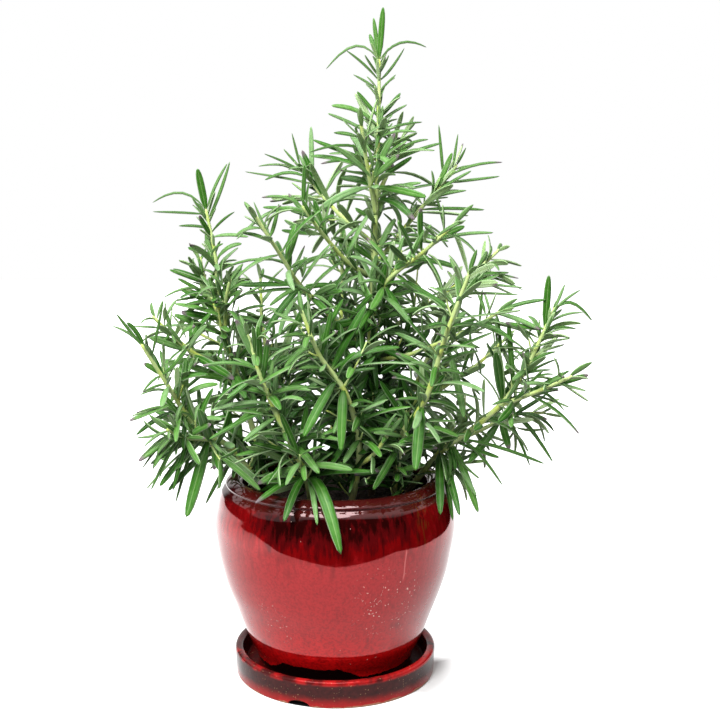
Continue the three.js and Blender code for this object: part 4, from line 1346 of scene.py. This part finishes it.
def fill_out(foliage, route, pairs, filled):
    """More pairs between those of the rule, a young sprig in most axils, and slender leaves near the tip."""
    chance = foliage.chance
    leaves = between_leaves(foliage, route, pairs)
    for distance, turn, _ in pairs:
        if distance < 6:
            continue
        stand = route.frame(1 - distance / route.length)
        for side in (0, math.pi):
            reach = min(chance.uniform(*SPRIG_REACH), distance * 0.4)
            if distance > 30 and chance.random() < LONG_CHANCE:
                reach = chance.uniform(*LONG_REACH)
            if chance.random() > SPRIG_CHANCE:
                continue
            made = sprig(foliage, stand, turn + side, reach)
            leaves.extend(made or sprig(foliage, stand, turn + side, SHORT_SPRIG))
    leaves.extend(tip_leaves(foliage, route, filled))
    return leaves


def grow(index, plant, broad, materials):
    """One plant with all its stems and leaves, as one piece."""
    chance = random.Random(PLANT_SEED + index)
    foliage = Foliage(broad, chance)
    routes = branches(plant)
    stem = routes[0]
    leaves = []
    for number, (route, branch) in enumerate(zip(routes, [plant, *plant.get("shoots", [])])):
        if number:
            add_stem(foliage, route, SHOOT_RADIUS, TIP_RADIUS)
        else:
            add_stem(foliage, route, FOOT_RADIUS, TIP_RADIUS, SOIL_TOP - HOLE_DEPTH + GAP)
        leaves.extend(listed_leaf(route, *leaf, chance) for leaf in branch.get("leaves", []))
        draw = make_draw(RULE_SEED * (index + 1) + number)
        filled = branch.get("filled", 0)
        pairs = rule_leaves(route, filled, BARE_SHOOT if number else BARE_STEM, draw, chance)
        leaves.extend(leaf for _, _, pair in pairs for leaf in pair if is_clear(leaf))
        leaves.extend(fill_out(foliage, route, pairs, filled))
    for number, route in enumerate(routes):
        extra = random.Random(EXTRA_SEED + 20 * index + number)
        more = MORE_LEAVES.get((plant["name"], number), [])
        leaves.extend(listed_leaf(route, *leaf, extra) for leaf in more)
    is_behind = plant["route"][0][1] > 0
    low_reach, count = (INNER_REACH, INNER_SPRIGS) if is_behind else (BARE_STEM + 6, LOW_SPRIGS)
    for _ in range(count):
        stand = stem.frame(chance.uniform(3, low_reach) / stem.length)
        turn = chance.uniform(0, 2 * math.pi)
        leaves.extend(sprig(foliage, stand, turn, chance.uniform(*LOW_REACH)))
    for leaf in leaves:
        add_leaf(foliage, leaf)
    piece = foliage.piece(plant["name"] + "_leaves", materials)
    dress(piece, plant["name"])


# Camera, stage and light


def make_camera():
    data = bpy.data.cameras.new("camera")
    data.sensor_width = SENSOR
    data.lens = SENSOR * FOCAL_SHARE
    data.shift_x = SHIFT_X
    camera = bpy.data.objects.new("camera", data)
    camera.location = (0, -CAMERA_DISTANCE, CAMERA_HEIGHT)
    camera.rotation_euler = (math.pi / 2 - CAMERA_DIP, 0, 0)
    bpy.context.scene.collection.objects.link(camera)
    bpy.context.scene.camera = camera


def make_floor():
    """A white table top. Its own glow hides most of the shadow, which stays a little to the right."""
    paint = Paint("floor", Roughness=0.9, Emission_Color=WHITE)
    glow = paint.most(
        paint.step(0.044, 0.063, paint.reach(0.016, -0.004), SHADOW_GLOW),
        paint.step(0.002, 0.014, paint.y, SHADOW_GLOW),
        paint.step(-0.034, -0.046, paint.y, SHADOW_GLOW),
    )
    # Far to the left and right the table glows brighter still, which the pot mirrors at its sides: painted
    # light.
    sides = paint.step(-0.13, -0.3, paint.x, (0, 1.1)) + paint.step(0.13, 0.3, paint.x, (0, 0.5))
    # Under the saucer the table is painted black and has no glow: painted shade.
    bare = paint.step(0.056, 0.057, paint.reach())
    colour = paint.blend(paint.noise(40, 3), (0.49, 0.49, 0.49), (0.51, 0.51, 0.505))
    colour = paint.blend(bare, (0.01, 0.01, 0.01), colour)
    white = paint.finish(Base_Color=colour, Emission_Strength=(glow + sides) * bare)
    corners = [(-FAR, -FAR, 0), (FAR, -FAR, 0), (FAR, FAR, 0), (-FAR, FAR, 0)]
    floor = new_object("floor", np.array(corners) / MM, [[0, 1, 2, 3]], [white])
    floor.visible_diffuse = False


def make_flag():
    """A black card beyond the front of the table, which only mirrors see."""
    paint = Paint("flag", Base_Color=(0, 0, 0, 1), Roughness=1, Specular_IOR_Level=0)
    corners = [(x, y, 0.0004) for x, y in [(-FAR, -FAR), (FAR, -FAR), (FAR, FAR), *TABLE_EDGE]]
    flag = new_object("flag", np.array(corners) / MM, [list(range(len(corners)))], [paint.material])
    for rays in ("camera", "diffuse", "transmission", "shadow"):
        setattr(flag, "visible_" + rays, False)


def make_world():
    """White to the camera, and dim all round. Mirrors see the white wall and the ceiling light."""
    world = bpy.data.worlds.new("studio")
    world.use_nodes = True
    tree = Tree(world.node_tree)
    x, y, z = tree.split(tree.add("ShaderNodeTexCoord").outputs["Generated"])
    wall = tree.step(WALL_SHARE - 0.04, WALL_SHARE + 0.04, y, (0.015, 1), "LINEAR")
    left = tree.step(-1, 0, x, (CEILING_FLARE[0], 0), "LINEAR")
    right = tree.step(0, 1, x, (0, CEILING_FLARE[1]), "LINEAR")
    ceiling = tree.step(CEILING_SHARE - 0.01, CEILING_SHARE + 0.01, left + right + z, (0, CEILING), "LINEAR")
    rays = tree.add("ShaderNodeLightPath").outputs
    strength = tree.between(rays["Is Glossy Ray"], AMBIENT, tree.most(wall, ceiling))
    strength = tree.between(rays["Is Camera Ray"], strength, 1)
    background = tree.nodes["Background"]
    tree.feed(background.inputs["Strength"], strength)
    background.inputs["Color"].default_value = WHITE
    bpy.context.scene.world = world


def make_light(name, place, aim, size, power, glossy=True):
    data = bpy.data.lights.new(name, "AREA")
    data.shape = "RECTANGLE"
    data.size, data.size_y = size
    data.energy = power
    light = bpy.data.objects.new(name, data)
    light.location = place
    direction = Vector(aim) - Vector(place)
    light.rotation_euler = direction.to_track_quat("-Z", "Y").to_euler()
    light.visible_glossy = glossy
    light.visible_camera = False
    bpy.context.scene.collection.objects.link(light)


make_camera()
make_floor()
make_flag()
make_world()
make_light("overhead", (-0.2, -0.4, 1.5), (0, 0, 0.1), (1.1, 0.9), 33)
make_light("key", (-0.45, -1.05, 1.1), (0, 0, 0.15), (0.5, 0.5), 32, glossy=False)
bpy.context.scene.view_settings.view_transform = "Standard"

make_saucer(saucer_glaze())
make_pot(pot_glaze())
make_soil(soil_mix())
plant_materials = [leaf_top(), leaf_under(), stem_bark()]
broad = broad_leaves()
for index, plant in enumerate(PLANTS):
    grow(index, plant, broad, plant_materials)
